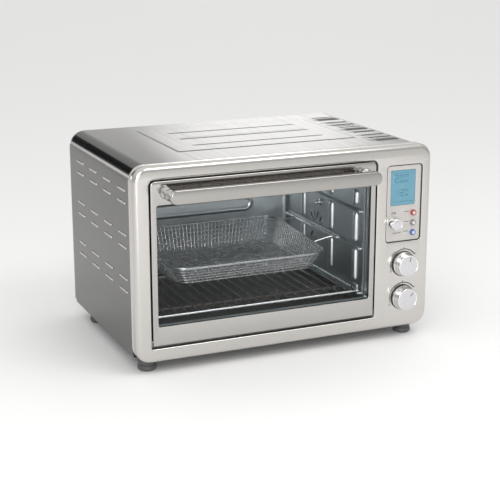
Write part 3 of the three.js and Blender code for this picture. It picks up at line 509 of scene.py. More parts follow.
def cut_through(centre, half, top):
    """Faces that lie in the cut under a hood or in a top slot."""
    slot, vent = SIDE_SLOTS, TOP_SLOTS
    x, depth, z = centre[:, 0], centre[:, 1] - FACE, centre[:, 2]
    rows = np.array(slot["rows"]) - HOOD["below"] - HOOD_CUT["tall"]
    starts = np.array(slot["starts"]) + HOOD_CUT["inset"]
    in_row = ((z[:, None] > rows) & (z[:, None] < rows + HOOD_CUT["tall"])).any(1)
    length = slot["length"] - 2 * HOOD_CUT["inset"]
    in_column = (depth[:, None] > starts) & (depth[:, None] < starts + length)
    firsts = vent["first"] + vent["pitch"] * np.arange(vent["count"])
    in_vent = ((depth[:, None] > firsts) & (depth[:, None] < firsts + vent["wide"])).any(1)
    over = (x > vent["left"]) & (x < vent["right"]) & (z > top - NEAR_SKIN)
    return ((np.abs(x) > half - NEAR_SKIN) & in_row & in_column.any(1)) | (over & in_vent)


def hoods_shape():
    """A rolled hood over each side slot, standing out as far as the fascia's edge."""
    wall = box("outer_casing")[1][0] - HOOD["proud"]
    proud = HOOD["proud"] - HOOD["clear"]
    parts = []
    for facing, x in ((INTO_RIGHT, -wall), (INTO_LEFT, wall)):
        for start in SIDE_SLOTS["starts"]:
            near = FACE + start + HOOD["inset"]
            far = FACE + start + SIDE_SLOTS["length"] - HOOD["inset"]
            for row in SIDE_SLOTS["rows"]:
                outline = rounded(near, far, row - HOOD["below"], row + HOOD["above"], HOOD["round"], steps=4)
                parts.append(pressed(outline, proud, HOOD["round"], HOOD["foot"], facing, (x, 0, 0)))
    return together(*parts)


def make_casing():
    """The casing, a sheet thickened inwards, and the hoods over its side slots."""
    casing = put("casing_sheet", casing_shape(), casing_steel, "housing", ["outer_casing"],
                 closed=False)
    wall = casing.modifiers.new("sheet", "SOLIDIFY")
    wall.thickness = CASING["sheet"] * MM
    wall.offset = -1
    # The hoods are drawn in a brighter steel than the casing round them: a painted highlight on their slopes.
    put("slot_hoods", hoods_shape(), hood_highlight_steel, "housing", ["outer_casing"])


# ---------------------------------------------------------------- fascia and control column

OPENING = {"left": -230.2, "right": 155.2, "bottom": 42.6, "top": 306.2, "lip": 2.2, "wall": 1.6, "back": 16}
OPENING_CORNERS = (9, 9, 2, 2)
PANEL_HOLE = {"left": 173, "right": 238.5, "bottom": 167, "top": 295, "corner": 6}
FASCIA = {"corner": 24, "round": 8, "skin": 1.6, "depth": 25}
FASCIA_GROOVE = [(0, 12.5), (0, 14.6), (-1.7, 15.6), (-1.7, 18.4), (-0.3, 19.6)]
FASCIA_BEAD = {"radius": 2.6, "depth": 22.3, "inset": 3.6}
DIAL_SHAFT = 3.4
BUTTON_HOLE = 4.7
SELECTOR_HOLE = 3.6
BUTTONS = ("stop_button", "light_button", "start_button")
# A black strip round the inside of the panel window, standing for the shadow line at the window's edge:
# painted shade.
PANEL_SHADE_STRIP = {"inset": 0.2, "corner": 5.8, "section": [(0, -0.5), (-1.3, -0.5), (-1.3, 0.2), (0, 0.2)]}
MARK_THICK = 0.18
UPPER_DIGITS = {"drop": 20, "size": 13, "lit": (("abdeg", 7), ("abcdef", 16), ("abcdef", 25))}
LOWER_DIGITS = {"rise": 15, "size": 11, "lit": (("bc", 7), ("abdeg", 18), ("abcdef", 26))}
COLON = {"left": 15.4, "right": 16.4, "dots": ((18, 19.2), (22, 23.2))}
BAR_ROWS = {"first": 4, "pitch": 6.4, "count": 6, "lower": (4, 5, 6.4), "upper": (3, -4.6, -3.4)}


def fascia_shape():
    """The fascia: a face with two windows, a rounded front edge, a groove and a rolled bead at the casing."""
    low, high = box("front_fascia")
    outer = rounded(low[0], high[0], low[2], high[2], FASCIA["corner"], steps=10)
    big, skin = FASCIA["round"], FASCIA["skin"]
    angle = np.linspace(0, np.pi / 2, 7)
    front = np.stack([-big + big * np.sin(angle), big - big * np.cos(angle)], -1)
    groove = soften(FASCIA_GROOVE, 0.6, 3)
    turn = np.linspace(-np.pi / 2, np.pi / 2, 9)
    bulge, inset = FASCIA_BEAD["radius"], FASCIA_BEAD["inset"]
    bead = np.stack([-bulge + bulge * np.cos(turn), FASCIA_BEAD["depth"] + bulge * np.sin(turn)], -1)
    back = [(-inset, FASCIA["depth"]), (-inset, big), (-big, big - 1.2), (-big - 2, skin)]
    rim = np.vstack([front, groove, bead, back])
    o = OPENING
    door = rounded(o["left"], o["right"], o["bottom"], o["top"], OPENING_CORNERS, steps=6)
    bend = np.linspace(0, np.pi / 2, 5)
    lip = o["lip"] * np.stack([1 - np.sin(bend), 1 - np.cos(bend)], -1)
    wall, depth = o["wall"], o["back"]
    tunnel = np.vstack([lip, [(0, depth), (wall, depth), (wall, 4), (wall + 2.4, skin)]])
    p = PANEL_HOLE
    panel = rounded(p["left"], p["right"], p["bottom"], p["top"], p["corner"], steps=6)
    panel_lip = edge(skin, 1.2, inwards=True, steps=4)[:5].tolist() + [(0, skin)]
    borders = [(outer, rim), (door, tunnel), (panel, panel_lip)]
    for name in ("upper", "lower"):
        x, _, z = middle(f"dial_ring_{name}")
        borders.append((circle(x, z, DIAL_SHAFT), edge(skin, 0.2, inwards=True)))
    return sheet(borders, FRONT, (0, FACE, 0))


def control_tray_shape():
    """The plate behind the panel window: a soft pressed border, the display window and its button holes."""
    low, high = box("control_panel")
    thick = high[1] - low[1]
    outer = rounded(low[0], high[0], low[2], high[2], 4)
    window = rounded(*display_edges(), 1.5)
    borders = [(outer, edge(thick, 0.3)), (window, edge(thick, 0.7, inwards=True))]
    for name in BUTTONS:
        x, _, z = middle(name)
        borders.append((circle(x, z, BUTTON_HOLE), edge(thick, 0.4, inwards=True)))
    x, _, z = middle("select_knob")
    borders.append((circle(x, z, SELECTOR_HOLE), edge(thick, 0.3, inwards=True)))
    return sheet(borders, FRONT, (0, low[1], 0))


def display_edges():
    """Left, right, bottom and top of the display window's hole."""
    low, high = box("lcd_window")
    return low[0] - 0.3, high[0] + 0.3, low[2] - 0.3, high[2] + 0.3


def bars(rectangles, front, thick):
    """Small flat bars, one for each (left, right, bottom, top)."""
    rim = edge(thick, 0.04, steps=1)
    return together(*[sheet([(rounded(*r, 0.25, steps=1), rim)], FRONT, (0, front, 0)) for r in rectangles])


def digit(shape, x, z, size):
    """One seven-segment digit: shape names the segments that are lit."""
    w, h, t = 0.5 * size, size, 0.11 * size
    upper, lower = (z + h / 2 + t, z + h - 1.4 * t), (z + 1.4 * t, z + h / 2 - t)
    places = {
        "a": (x, x + w, z + h - t, z + h),
        "b": (x + w - t, x + w, *upper),
        "c": (x + w - t, x + w, *lower),
        "d": (x, x + w, z, z + t),
        "e": (x, x + t, *lower),
        "f": (x, x + t, *upper),
        "g": (x, x + w, z + (h - t) / 2, z + (h + t) / 2),
    }
    return [places[key] for key in shape]


def display_marks():
    """The display's generic marks: a temperature, a time and two rows of short bars."""
    low, high = box("lcd_window")
    left, bottom, top = low[0], low[2], high[2]
    rows = []
    for shape, shift in UPPER_DIGITS["lit"]:
        rows += digit(shape, left + shift, top - UPPER_DIGITS["drop"], UPPER_DIGITS["size"])
    for shape, shift in LOWER_DIGITS["lit"]:
        rows += digit(shape, left + shift, bottom + LOWER_DIGITS["rise"], LOWER_DIGITS["size"])
    rows += [(left + COLON["left"], left + COLON["right"], bottom + a, bottom + b) for a, b in COLON["dots"]]
    starts = left + BAR_ROWS["first"] + BAR_ROWS["pitch"] * np.arange(BAR_ROWS["count"])
    for level, (wide, first, last) in ((bottom, BAR_ROWS["lower"]), (top, BAR_ROWS["upper"])):
        rows += [(x, x + wide, level + first, level + last) for x in starts]
    return bars(rows, low[1] - MARK_THICK, MARK_THICK)


def make_fascia():
    """The fascia, the control column's plate in its window, a black strip of painted shade round that window,
    the display and the printed marks.
    """
    put("fascia_shell", fascia_shape(), fascia_steel, "housing", ["front_fascia"])
    put("control_tray", control_tray_shape(), panel_silver, "housing", ["control_panel"])
    low, high = box("lcd_window")
    pane = rounded(low[0], high[0], low[2], high[2], 1.2)
    shape = sheet([(pane, edge(high[1] - low[1], 0.4))], FRONT, (0, low[1], 0))
    put("display_pane", shape, lcd_blue, "housing", ["lcd_window"])
    # The black strip round the panel window is painted shade: it draws the shadow line along the window's
    # edge.
    p, g = PANEL_HOLE, PANEL_SHADE_STRIP["inset"]
    frame_line = rounded(p["left"] + g, p["right"] - g, p["bottom"] + g, p["top"] - g, PANEL_SHADE_STRIP["corner"])
    tray_front = box("control_panel")[0][1]
    strip = ring(frame_line, PANEL_SHADE_STRIP["section"], FRONT, (0, tray_front, 0))
    put("panel_shade_strip", strip, black_plastic, "housing", ["control_panel"])
    put("display_marks", display_marks(), lcd_mark, "housing")
    put("panel_marks", panel_marks(), tick_paint, "housing")


def panel_marks():
    """Short printed dashes beside the selector and the buttons."""
    front = box("control_panel")[0][1] - MARK_THICK
    x, _, z = middle("select_knob")
    rows = [(x - 5, x + 5, z + 15.2, z + 16.2), (x - 4, x + 4, z + 17.6, z + 18.4)]
    for name in BUTTONS:
        left, level = box(name)[0][0], middle(name)[2]
        rows += [(left - 12, left - 3, level + 2.6, level + 3.4)]
    rows += [(x - 1, x + 14, z - 17.4, z - 16.5)]
    return bars(rows, front, MARK_THICK)


# ---------------------------------------------------------------- dials, knob and buttons

OUTWARDS = (0, -1, 0)
SCALE = {"radius": 24, "start": 204, "end": 36, "thin": 0.6, "widens": 1.3, "sunk": 0.2}
TICK_ANGLES = (206, 34, 90)
TICK = {"from": 0.4, "to": 4.4, "half": 0.45, "round": 0.3}
POINTER = {"from": 7, "short": 4, "half": 0.6, "round": 0.5, "thick": 0.6, "proud": 0.3}
DIAL = {
    "bore": 3.3, "flare": 1.8, "foot": 1.4, "side": 0.4,
    "shoulder": 0.9, "lip": 1.7, "rim": 2.5, "dish": 0.6,
}
SELECTOR = {"bore": 2.9, "clear": 0.3, "shoulder": 0.9, "lip": 1.8, "rim": 2.5, "dish": 0.5}
BUTTON = {"flange": 1, "bore": 2.6, "lip": 0.6, "well": 2.9}


def dial_scale(x, z):
    """A tapered arc over a dial with a mark at each end: radius to radius + width, which grows with t."""
    t = np.linspace(0, 1, 33)
    angle = np.radians(SCALE["start"] + (SCALE["end"] - SCALE["start"]) * t)
    radius = SCALE["radius"]
    width = SCALE["thin"] + SCALE["widens"] * t
    inner = np.stack([x + radius * np.cos(angle), z + radius * np.sin(angle)], -1)
    outer = np.stack([x + (radius + width) * np.cos(angle), z + (radius + width) * np.sin(angle)], -1)
    front, back = FACE - MARK_THICK, FACE + SCALE["sunk"]
    corners = ((inner, front), (outer, front), (outer, back), (inner, back))
    points = np.stack([np.insert(flat, 1, level, axis=1) for flat, level in corners])
    ends = np.repeat(points.mean(0, keepdims=True)[:, [0, -1]], 4, axis=0)
    points = np.concatenate([ends[:, :1], points, ends[:, 1:]], axis=1)
    arc = points.reshape(-1, 3), grid(4, points.shape[1], wrap_rows=True), NO_FACES
    near, far, half = x + radius + TICK["from"], x + radius + TICK["to"], TICK["half"]
    bar = rounded(near, far, z - half, z + half, TICK["round"], steps=1)
    rim = edge(MARK_THICK + SCALE["sunk"], 0.04, steps=1)
    turned_bars = [spun(bar, math.radians(tick), x, z) for tick in TICK_ANGLES]
    return together(arc, *[sheet([(one, rim)], FRONT, (0, front, 0)) for one in turned_bars])


def make_dial(name, body, pointing):
    """A turned chrome dial: a black bezel on the fascia, whose dark ring is partly painted shade for the
    dial's shadow, a waisted skirt and a satin front face.
    """
    node, d = f"dial_{name}", DIAL
    low, high = box(node)
    x, _, z = middle(node)
    radius, front, back = (high[0] - low[0]) / 2, FACE - low[1], FACE - high[1]
    ring_low, ring_high = box(f"dial_ring_{name}")
    wide, proud = (ring_high[0] - ring_low[0]) / 2, FACE - ring_low[1]
    bezel = soften([(0.3, 6), (0.3, wide), (1.3, wide), (proud, wide - 2.2), (proud, 6), (0.3, 6)], 0.5, 3)
    origin = (x, FACE, z)
    # The bezel is black plastic; its dark ring stands partly for the shadow round the dial, painted shade.
    put(f"dial_bezel_{name}", turned(bezel, OUTWARDS, origin, 64), black_plastic, "housing",
        [f"dial_ring_{name}"])
    skirt = [(back, d["bore"]), (back, radius + d["foot"]), (back + 1.4, radius + d["flare"])]
    skirt += [(back + 3.4, radius + d["side"]), (front - 5, radius - d["side"])]
    skirt += [(front - 1, radius - d["shoulder"]), (front, radius - d["lip"])]
    skirt += [(front - d["dish"], radius - d["rim"]), (front - d["dish"], d["bore"])]
    skirt = soften(skirt + [(back, d["bore"])], 0.9, 4)
    put(f"dial_skirt_{name}", turned(skirt, OUTWARDS, origin, 72), chrome, body, [node])
    cap = [(front - 1.2, 0), (front - 1.2, radius - 2.8), (front - 0.5, radius - 3), (front - 0.4, 0)]
    cap = turned(soften(cap, 0.4, 3), OUTWARDS, origin, 64)
    put(f"dial_face_{name}", cap, satin_chrome, body, [node])
    near, far, half = x + POINTER["from"], x + radius - POINTER["short"], POINTER["half"]
    line = rounded(near, far, z - half, z + half, POINTER["round"], steps=3)
    line = spun(line, math.radians(pointing), x, z)
    rim = edge(POINTER["thick"], 0.1, steps=1)
    pointer = sheet([(line, rim)], FRONT, (0, FACE - front + POINTER["proud"], 0))
    put(f"dial_pointer_{name}", pointer, tick_paint, body, [node])
    put(f"dial_scale_{name}", dial_scale(x, z), tick_paint, "housing")


def make_selector():
    """The small knob in the control column, and the shaft behind it."""
    low, high = box("select_knob")
    x, _, z = middle("select_knob")
    radius, front = (high[0] - low[0]) / 2, FACE - low[1]
    back = FACE - box("control_panel")[0][1] + SELECTOR["clear"]
    k = SELECTOR
    skirt = [(back, k["bore"]), (back, radius), (back + 1, radius), (front - 1.4, radius - k["shoulder"])]
    skirt += [(front, radius - k["lip"]), (front - k["dish"], radius - k["rim"])]
    skirt = soften(skirt + [(front - k["dish"], k["bore"]), (back, k["bore"])], 0.5, 4)
    origin = (x, FACE, z)
    put("selector_skirt", turned(skirt, OUTWARDS, origin, 56), chrome, "selector", ["select_knob"])
    cap = [(front - 0.9, 0), (front - 0.9, radius - 2.8), (front - 0.4, radius - 3), (front - 0.1, 0)]
    cap = turned(soften(cap, 0.4, 3), OUTWARDS, origin, 48)
    put("selector_face", cap, satin_chrome, "selector", ["select_knob"])
    shaft = [(FACE - high[1], 0), (FACE - high[1], k["bore"]), (back + 1, k["bore"]), (back + 1, 0)]
    shaft = turned(soften(shaft, 0.3, 2), OUTWARDS, origin, 24)
    put("selector_shaft", shaft, zinc_steel, "selector", ["select_knob"])


def make_button(name, body, material):
    """A push button: a coloured ring with a slightly hollow pale centre."""
    low, high = box(name)
    x, _, z = middle(name)
    flange, front, back = (high[0] - low[0]) / 2, FACE - low[1], FACE - high[1]
    radius, b = flange - BUTTON["flange"], BUTTON
    rim = [(back, b["bore"]), (back, flange), (back + 1.2, flange), (back + 1.2, radius)]
    rim += [(front - 0.7, radius), (front, radius - b["lip"]), (front, b["well"]), (front - 0.7, 2.7)]
    rim += [(back, b["bore"])]
    origin = (x, FACE, z)
    put(f"{name}_ring", turned(soften(rim, 0.4, 3), OUTWARDS, origin, 40), material, body, [name])
    cap = [(front - 3, 0), (front - 3, 2.5), (front - 0.5, b["bore"]), (front - 0.3, 1.8), (front - 0.6, 0)]
    cap = turned(soften(cap, 0.3, 3), OUTWARDS, origin, 32)
    put(f"{name}_centre", cap, button_pale, body, [name])


def make_controls():
    """Two dials, the selector and three buttons."""
    make_dial("upper", "upper_dial", 75)
    make_dial("lower", "lower_dial", 45)
    make_selector()
    make_button("stop_button", "stop_key", button_red)
    make_button("light_button", "light_key", button_grey)
    make_button("start_button", "start_key", button_blue)


# ---------------------------------------------------------------- door

WINDOW = {"left": -219, "right": 144, "bottom": 77, "top": 267.5}
DOOR_SKIN = 1.5
DOOR_CORNERS = (7, 7, 3, 3)
DOOR_ROUND = 1.8
POST_TURNING = [(6.5, 5.2), (11, 5), (13.5, 7), (17.5, 8.9), (22, 8.4), (25.5, 6.2), (27.5, 6.4)]
POST_SEAT = 6.6


def door_pan_shape():
    """The door's pan: a face with the window, a rounded front edge and a wall that runs back all round."""
    low, high = box("door_frame")
    thick = high[1] - low[1]
    outer = rounded(low[0], high[0], low[2], high[2], DOOR_CORNERS, steps=6)
    angle = np.linspace(0, np.pi / 2, 5)
    front = DOOR_ROUND * np.stack([np.sin(angle) - 1, 1 - np.cos(angle)], -1)
    wall = [(0, thick), (-DOOR_SKIN, thick), (-DOOR_SKIN, 3.4), (-DOOR_SKIN - DOOR_ROUND, DOOR_SKIN)]
    w = WINDOW
    window = rounded(w["left"], w["right"], w["bottom"], w["top"], 4)
    borders = [(outer, np.vstack([front, wall])), (window, edge(DOOR_SKIN, 0.7, inwards=True))]
    return sheet(borders, FRONT, (0, low[1], 0))


def grip_shape():
    """The handle bar: a stadium with softly rounded edges front and back."""
    low, high = box("handle_bar")
    outline = rounded(low[0], high[0], low[2], high[2], (high[2] - low[2]) / 2, steps=12)
    return sheet([(outline, edge(high[1] - low[1], 2.2, steps=5))], FRONT, (0, low[1], 0))


def post_shape(node):
    """A turned post: flange, narrow neck, full bulge and a seat under the bar."""
    low, high = box(node)
    x, _, z = middle(node)
    wide, reach = (high[0] - low[0]) / 2, high[1] - low[1]
    profile = [(0, 0), (0, wide), (2, wide), (3.6, wide - 1.6), *POST_TURNING, (reach, POST_SEAT), (reach, 0)]
    return turned(soften(profile, 1.6, 4), OUTWARDS, (x, high[1], z), 56)


def make_door():
    """The door's pan and pane, the handle's bar and its two posts."""
    put("door_pan", door_pan_shape(), door_steel, "door", ["door_frame"])
    low, high = box("door_glass")
    pane = rounded(low[0], high[0], low[2], high[2], 4)
    shape = sheet([(pane, edge(high[1] - low[1], 0.8))], FRONT, (0, low[1], 0))
    put("door_pane", shape, door_glass, "door", ["door_glass"])
    put("handle_grip", grip_shape(), handle_steel, "door", ["handle_bar"])
    for side in ("left", "right"):
        node = f"handle_post_{side}"
        # The posts take the darkened chrome, painted shade.
        put(f"turned_post_{side}", post_shape(node), post_shaded_chrome, "door", [node])


# ---------------------------------------------------------------- cavity

GUIDE_TOPS = (82, 158, 220)
GUIDE = {"reach": 6, "thick": 5, "front": 24, "rear": 300}
PAD_DEPTHS = (46, 132, 239)
PAD_SPANS = ((97, 152), (163, 214), (225, 251))
PAD = {"wide": 13, "proud": 4.6, "shoulder": 5.9}
CAVITY_SHEET = 0.9
HEATERS = ("lower_front", "lower_rear", "upper_front", "upper_rear")
HEATER = {"hole": 4.2, "end": 5.5, "rod": 3.2, "ferrule": 9}
SENSOR_HOLE = 3.4
SENSOR_TURNING = [(0, 0), (0, 2.2), (1.6, 3), (9.6, 3), (10.4, 6), (12.4, 6), (12.4, 3), (30, 3), (30, 0)]
FAN_SLOTS = {"count": 12, "inner": 15, "outer": 30, "wide": 3.6, "drop": 2, "clear_of_guide": 0.954}
COVE = 9
REAR_RING = {"left": -188, "right": 70, "bottom": 168.5, "top": 190.5, "wide": 9, "proud": 1.7}


def pressed(outline, proud, soft, foot, facing, origin):
    """A pressing that stands proud of a sheet: a crown, a foot, and between them a shoulder that is a quarter
    of an ellipse, soft wide and proud tall."""
    angle = np.linspace(0, np.pi / 2, 6)
    shoulder = np.stack([-soft + soft * np.sin(angle), -proud * np.cos(angle)], -1)
    return sheet([(outline, np.vstack([shoulder, [(foot, 0.1), (foot, 0.4)]]))], facing, origin)


def wall_holes(fan):
    """The round heater holes, and on the fan side the sensor's hole and the fan's radial slots."""
    holes = []
    for place in HEATERS:
        _, y, z = middle(f"heater_{place}")
        holes.append(circle(y, z, HEATER["hole"], 3))
    if fan:
        _, y, z = middle("temperature_sensor")
        holes.append(circle(y, z, SENSOR_HOLE, 3))
        _, y, z = middle("fan_motor")
        z -= FAN_SLOTS["drop"]
        half = FAN_SLOTS["wide"] / 2
        slot = rounded(y + FAN_SLOTS["inner"], y + FAN_SLOTS["outer"], z - half, z + half, half - 0.01, 3)
        angles = 2 * np.pi * (np.arange(FAN_SLOTS["count"]) + 0.5) / FAN_SLOTS["count"]
        holes += [spun(slot, a, y, z) for a in angles if abs(math.cos(a)) < FAN_SLOTS["clear_of_guide"]]
    return holes


def side_wall_shape(node, facing, inside, fan):
    """A cavity side wall: a sheet with its holes and three rolled guides."""
    low, high = box(node)
    origin = (inside, 0, 0)
    outline = rounded(low[1], high[1], low[2], high[2], 1.0, steps=2)
    borders = [(outline, edge(CAVITY_SHEET, 0.2, steps=1))]
    borders += [(hole, edge(CAVITY_SHEET, 0.25, inwards=True, steps=1)) for hole in wall_holes(fan)]
    parts = [sheet(borders, facing, origin)]
    for top in GUIDE_TOPS:
        bar = rounded(FACE + GUIDE["front"], FACE + GUIDE["rear"], top - GUIDE["thick"], top, 2.4, steps=4)
        parts.append(pressed(bar, GUIDE["reach"], 1.9, 0.6, facing, origin))
    return together(*parts)


def pads_shape(facing, inside):
    """Rows of tall domed pads pressed into a side wall."""
    half = PAD["wide"] / 2
    parts = []
    for depth in PAD_DEPTHS:
        for bottom, top in PAD_SPANS:
            pad = rounded(FACE + depth - half, FACE + depth + half, bottom, top, half - 0.5, steps=6)
            parts.append(pressed(pad, PAD["proud"], PAD["shoulder"], 0.4, facing, (inside, 0, 0)))
    return together(*parts)


def rear_wall_shape():
    """The cavity's rear wall, stiffened by a long pressed ring with half-round ends."""
    low, high = box("cavity_rear_wall")
    sheet_front = high[1] - CAVITY_SHEET
    outline = rounded(low[0], high[0], low[2], high[2], 1.0, steps=2)
    wall = sheet([(outline, edge(CAVITY_SHEET, 0.2, steps=1))], FRONT, (0, sheet_front, 0))
    r = REAR_RING
    centre = rounded(r["left"], r["right"], r["bottom"], r["top"], (r["top"] - r["bottom"]) / 2, steps=8)
    half = r["wide"] / 2
    across = np.linspace(-half, half, 11)
    crown = np.stack([across, -r["proud"] * np.cos(across / half * np.pi / 2)], -1)
    bead = ring(centre, np.vstack([crown, [(half, 0.4), (-half, 0.4)]]), FRONT, (0, sheet_front, 0))
    return together(wall, bead)


def cove_shape(x, y, towards, bottom, top):
    """A rounded inner corner: a quarter circle that closes onto the corner point, carried upwards."""
    angle = np.linspace(0, np.pi / 2, 9)
    arc = np.stack([x + towards * COVE * (1 - np.sin(angle)), y - COVE * (1 - np.cos(angle))], -1)
    loop = np.vstack([arc, [(x, y)]])
    rows = [np.insert(loop, 2, level, axis=1) for level in (bottom, top)]
    cap = np.array(tessellate_polygon([[Vector((a, b, 0)) for a, b in loop]]))
    return np.concatenate(rows), grid(2, len(loop), wrap_columns=True), np.concatenate([cap, cap + len(loop)])


def make_cavity():
    """The side walls with their pads, the rear wall, the coves between them, the sensor and the heaters."""
    right, left = box("cavity_right_wall"), box("cavity_left_wall")
    inside_right, inside_left = right[1][0] - CAVITY_SHEET, left[0][0] + CAVITY_SHEET
    put("cavity_pressing_right", side_wall_shape("cavity_right_wall", INTO_RIGHT, inside_right, True),
        cavity_steel, "housing", ["cavity_right_wall"])
    put("cavity_pressing_left", side_wall_shape("cavity_left_wall", INTO_LEFT, inside_left, False),
        cavity_steel, "housing", ["cavity_left_wall"])
    put("cavity_pressing_rear", rear_wall_shape(), cavity_steel, "housing",
        ["cavity_rear_wall"])
    # The pads take the brighter pad steel, a painted highlight on the pressed domes.
    put("cavity_pads_right", pads_shape(INTO_RIGHT, inside_right), pad_highlight_steel, "housing",
        ["cavity_right_wall"])
    put("cavity_pads_left", pads_shape(INTO_LEFT, inside_left), pad_highlight_steel, "housing",
        ["cavity_left_wall"])
    rear, low, high = box("cavity_rear_wall")[1][1] - CAVITY_SHEET, right[0][2] + 0.5, right[1][2] - 0.5
    for side, x, towards in (("left", inside_left, 1), ("right", inside_right, -1)):
        put(f"cavity_cove_{side}", cove_shape(x, rear, towards, low, high), cavity_steel, "housing")
    _, y, z = middle("temperature_sensor")
    start = (box("temperature_sensor")[0][0], y, z)
    stud = turned(soften(SENSOR_TURNING, 0.8, 3), (1, 0, 0), start, 28)
    put("sensor_stud", stud, chrome, "housing", ["temperature_sensor"])
    for place in HEATERS:
        make_heater(place)


def make_heater(place):
    """A straight sheathed heater with a ceramic end on each side."""
    node = f"heater_{place}"
    low, high = box(node)
    _, y, z = middle(node)
    long, end, rod, ferrule = high[0] - low[0], HEATER["end"], HEATER["rod"], HEATER["ferrule"]
    profile = [(0, 0), (0, end), (ferrule, end), (ferrule + 0.5, rod), (long - ferrule - 0.5, rod)]
    profile += [(long - ferrule, end), (long, end), (long, 0)]
    shape = turned(soften(profile, 0.5, 2), (1, 0, 0), (low[0], y, z), 24)
    put(f"heater_rod_{place}", shape, heater_sheath, "housing", [node])


# ---------------------------------------------------------------- rack, tray and basket

RACK = {"wire": 2.2, "thin": 1.4, "front": 25, "rear": 296, "rods": 19, "crosses": (25, 225, 296), "turn": 9}
RACK_LOOP = {"inset": 1.5, "wire": 1.5, "path": ((20, 2), (14, 10), (1, 10), (1, 2))}
ROD_LIFT = 1.6
TRAY_LIP_INSIDE = [(-4, -1), (-2, -1.8), (-1.2, -3.5)]
TRAY_LIP_OUTSIDE = [(0, -2.4), (-1, -0.6), (-3.2, 0)]
TRAY_FLOOR = [(-1.2, 0.4), (-0.8, 0), (-0.3, 0.1), (0, 0.6)]
BASKET = {"pitch": 6.6, "wire": 0.75, "taper": 12, "corner": 26, "inset": 2.6, "lean": 5.0, "mesh_corner": 20}
BASKET_RIM = {"centre": -37.5, "half": 135, "front": 58, "rear": 272, "low": 147, "high": 161, "floor": 118}
HOOP_LEVELS = np.linspace(0.0, 0.86, 6)
RAIL = {"wire": 1.9, "wide": 9, "front": 90, "rear": 288, "round": 3.5, "lift": 2.4}
HANGER = {"wire": 1.6, "out": 8, "share": 0.3, "drop": 1.5, "depths": ((100, 112), (250, 240))}


def rack_shapes():
    """The rack's frame and its thin rods. The frame is two looped side wires and the cross wires."""
    low, high = box("wire_rack")
    wire, z = RACK["wire"], low[2] + RACK["wire"]
    left, right = low[0] + wire, high[0] - wire
    front, rear = FACE + RACK["front"], FACE + RACK["rear"]
    frame_wires = []
    for x, inwards in ((left, 1), (right, -1)):
        side = [(x, rear + 1.5, z), (x, front, z), (x + RACK["turn"] * inwards, front, z)]
        frame_wires.append(tubes(soften(side, 5, 5), wire, 12))
        loop_x = x + RACK_LOOP["inset"] * inwards
        loop = [(loop_x, front + back, z + up) for back, up in RACK_LOOP["path"]]
        frame_wires.append(tubes(soften(loop, 4, 5), RACK_LOOP["wire"], 10, across=(1, 0, 0)))
    for depth in RACK["crosses"]:
        y = FACE + depth
        frame_wires.append(tubes([(left, y, z), (0, y, z), (right, y, z)], wire, 12))
    pitch = (right - left) / (RACK["rods"] + 1)
    x = left + pitch * np.arange(1, RACK["rods"] + 1)
    y = np.array([front - 1, front + 3, rear - 3, rear + 1])
    paths = np.stack(np.broadcast_arrays(x[:, None], y[None], z + ROD_LIFT), -1)
    return together(*frame_wires), tubes(paths, RACK["thin"], 8)


def tray_shape():
    """The crumb tray: a floor with a rounded bend up to a rolled lip."""
    low, high = box("crumb_tray")
    deep = high[2] - low[2]
    outline = rounded(low[0], high[0], low[1], high[1], 5, steps=5)
    inside = [(grow, deep + drop) for grow, drop in TRAY_LIP_INSIDE]
    outside = [(grow, deep + drop) for grow, drop in TRAY_LIP_OUTSIDE]
    return sheet([(outline, inside + TRAY_FLOOR + outside)], UP, (0, 0, high[2]))


def basket_outline(level):
    """The basket's outline at a level from 0, its floor, to 1, its rim."""
    rim, inset = BASKET_RIM, BASKET["inset"] + BASKET["taper"] * (1 - level)
    half = rim["half"] - inset
    return rim["centre"] - half, rim["centre"] + half, FACE + rim["front"] + inset, FACE + rim["rear"] - inset


def basket_height(y, level):
    """Height of the basket's wall: floor + level (rim - floor), the rim climbing evenly towards the rear."""
    rim = BASKET_RIM
    climb = (y - FACE - rim["front"]) / (rim["rear"] - rim["front"])
    return rim["floor"] + 1 + level * (rim["low"] + (rim["high"] - rim["low"]) * climb - rim["floor"] - 1)


def wall_reach(offset, half, corner):
    """How far a rounded corner pulls the wall in at an offset from the middle: r - sqrt(r^2 - over^2)."""
    over = np.clip(np.abs(offset) - (half - corner), 0, corner)
    return corner - np.sqrt(corner ** 2 - over ** 2)


def basket_wires(along_x):
    """Parallel mesh wires: each runs down one wall, over the floor and up the wall on the other side."""
    level = np.concatenate([np.linspace(1, 0.08, 5), [0], [0], np.linspace(0.08, 1, 5)])[None]
    side = np.repeat((-1.0, 1.0), 6)[None]
    left, right, front, rear = basket_outline(level)
    middle = ((left + right) / 2, (front + rear) / 2)
    halves = ((right - left) / 2, (rear - front) / 2)
    run, cross = (0, 1) if along_x else (1, 0)
    reach = halves[cross].max() - BASKET["taper"] - 7
    count = int(2 * reach / BASKET["pitch"])
    share = np.linspace(-1, 1, count)[:, None]
    corner = BASKET["mesh_corner"]
    lean = BASKET["lean"] * level * side * (not along_x)
    offset = share * reach * (halves[cross] / halves[cross].max()) + lean
    offset = np.clip(offset, -halves[cross] + 1, halves[cross] - 1)
    wall = halves[run] - wall_reach(offset, halves[cross], corner)
    place = [None, None]
    place[run] = middle[run] + side * wall
    place[cross] = middle[cross] + offset
    z = basket_height(place[1], level)
    paths = np.stack(np.broadcast_arrays(place[0], place[1], z), -1)
    return tubes(paths, BASKET["wire"], 5, across=(0, 1, 0) if along_x else (1, 0, 0))


def basket_hoops():
    """Mesh wires that run round the walls, one above the other."""
    hoops = []
    for level in HOOP_LEVELS:
        left, right, front, rear = basket_outline(level)
        flat = grown(rounded(left, right, front, rear, BASKET["mesh_corner"], steps=5), 0)
        path = np.insert(flat, 2, basket_height(flat[:, 1], level), axis=1)
        hoops.append(tubes(path, BASKET["wire"], 5, closed=True))
    return together(*hoops)


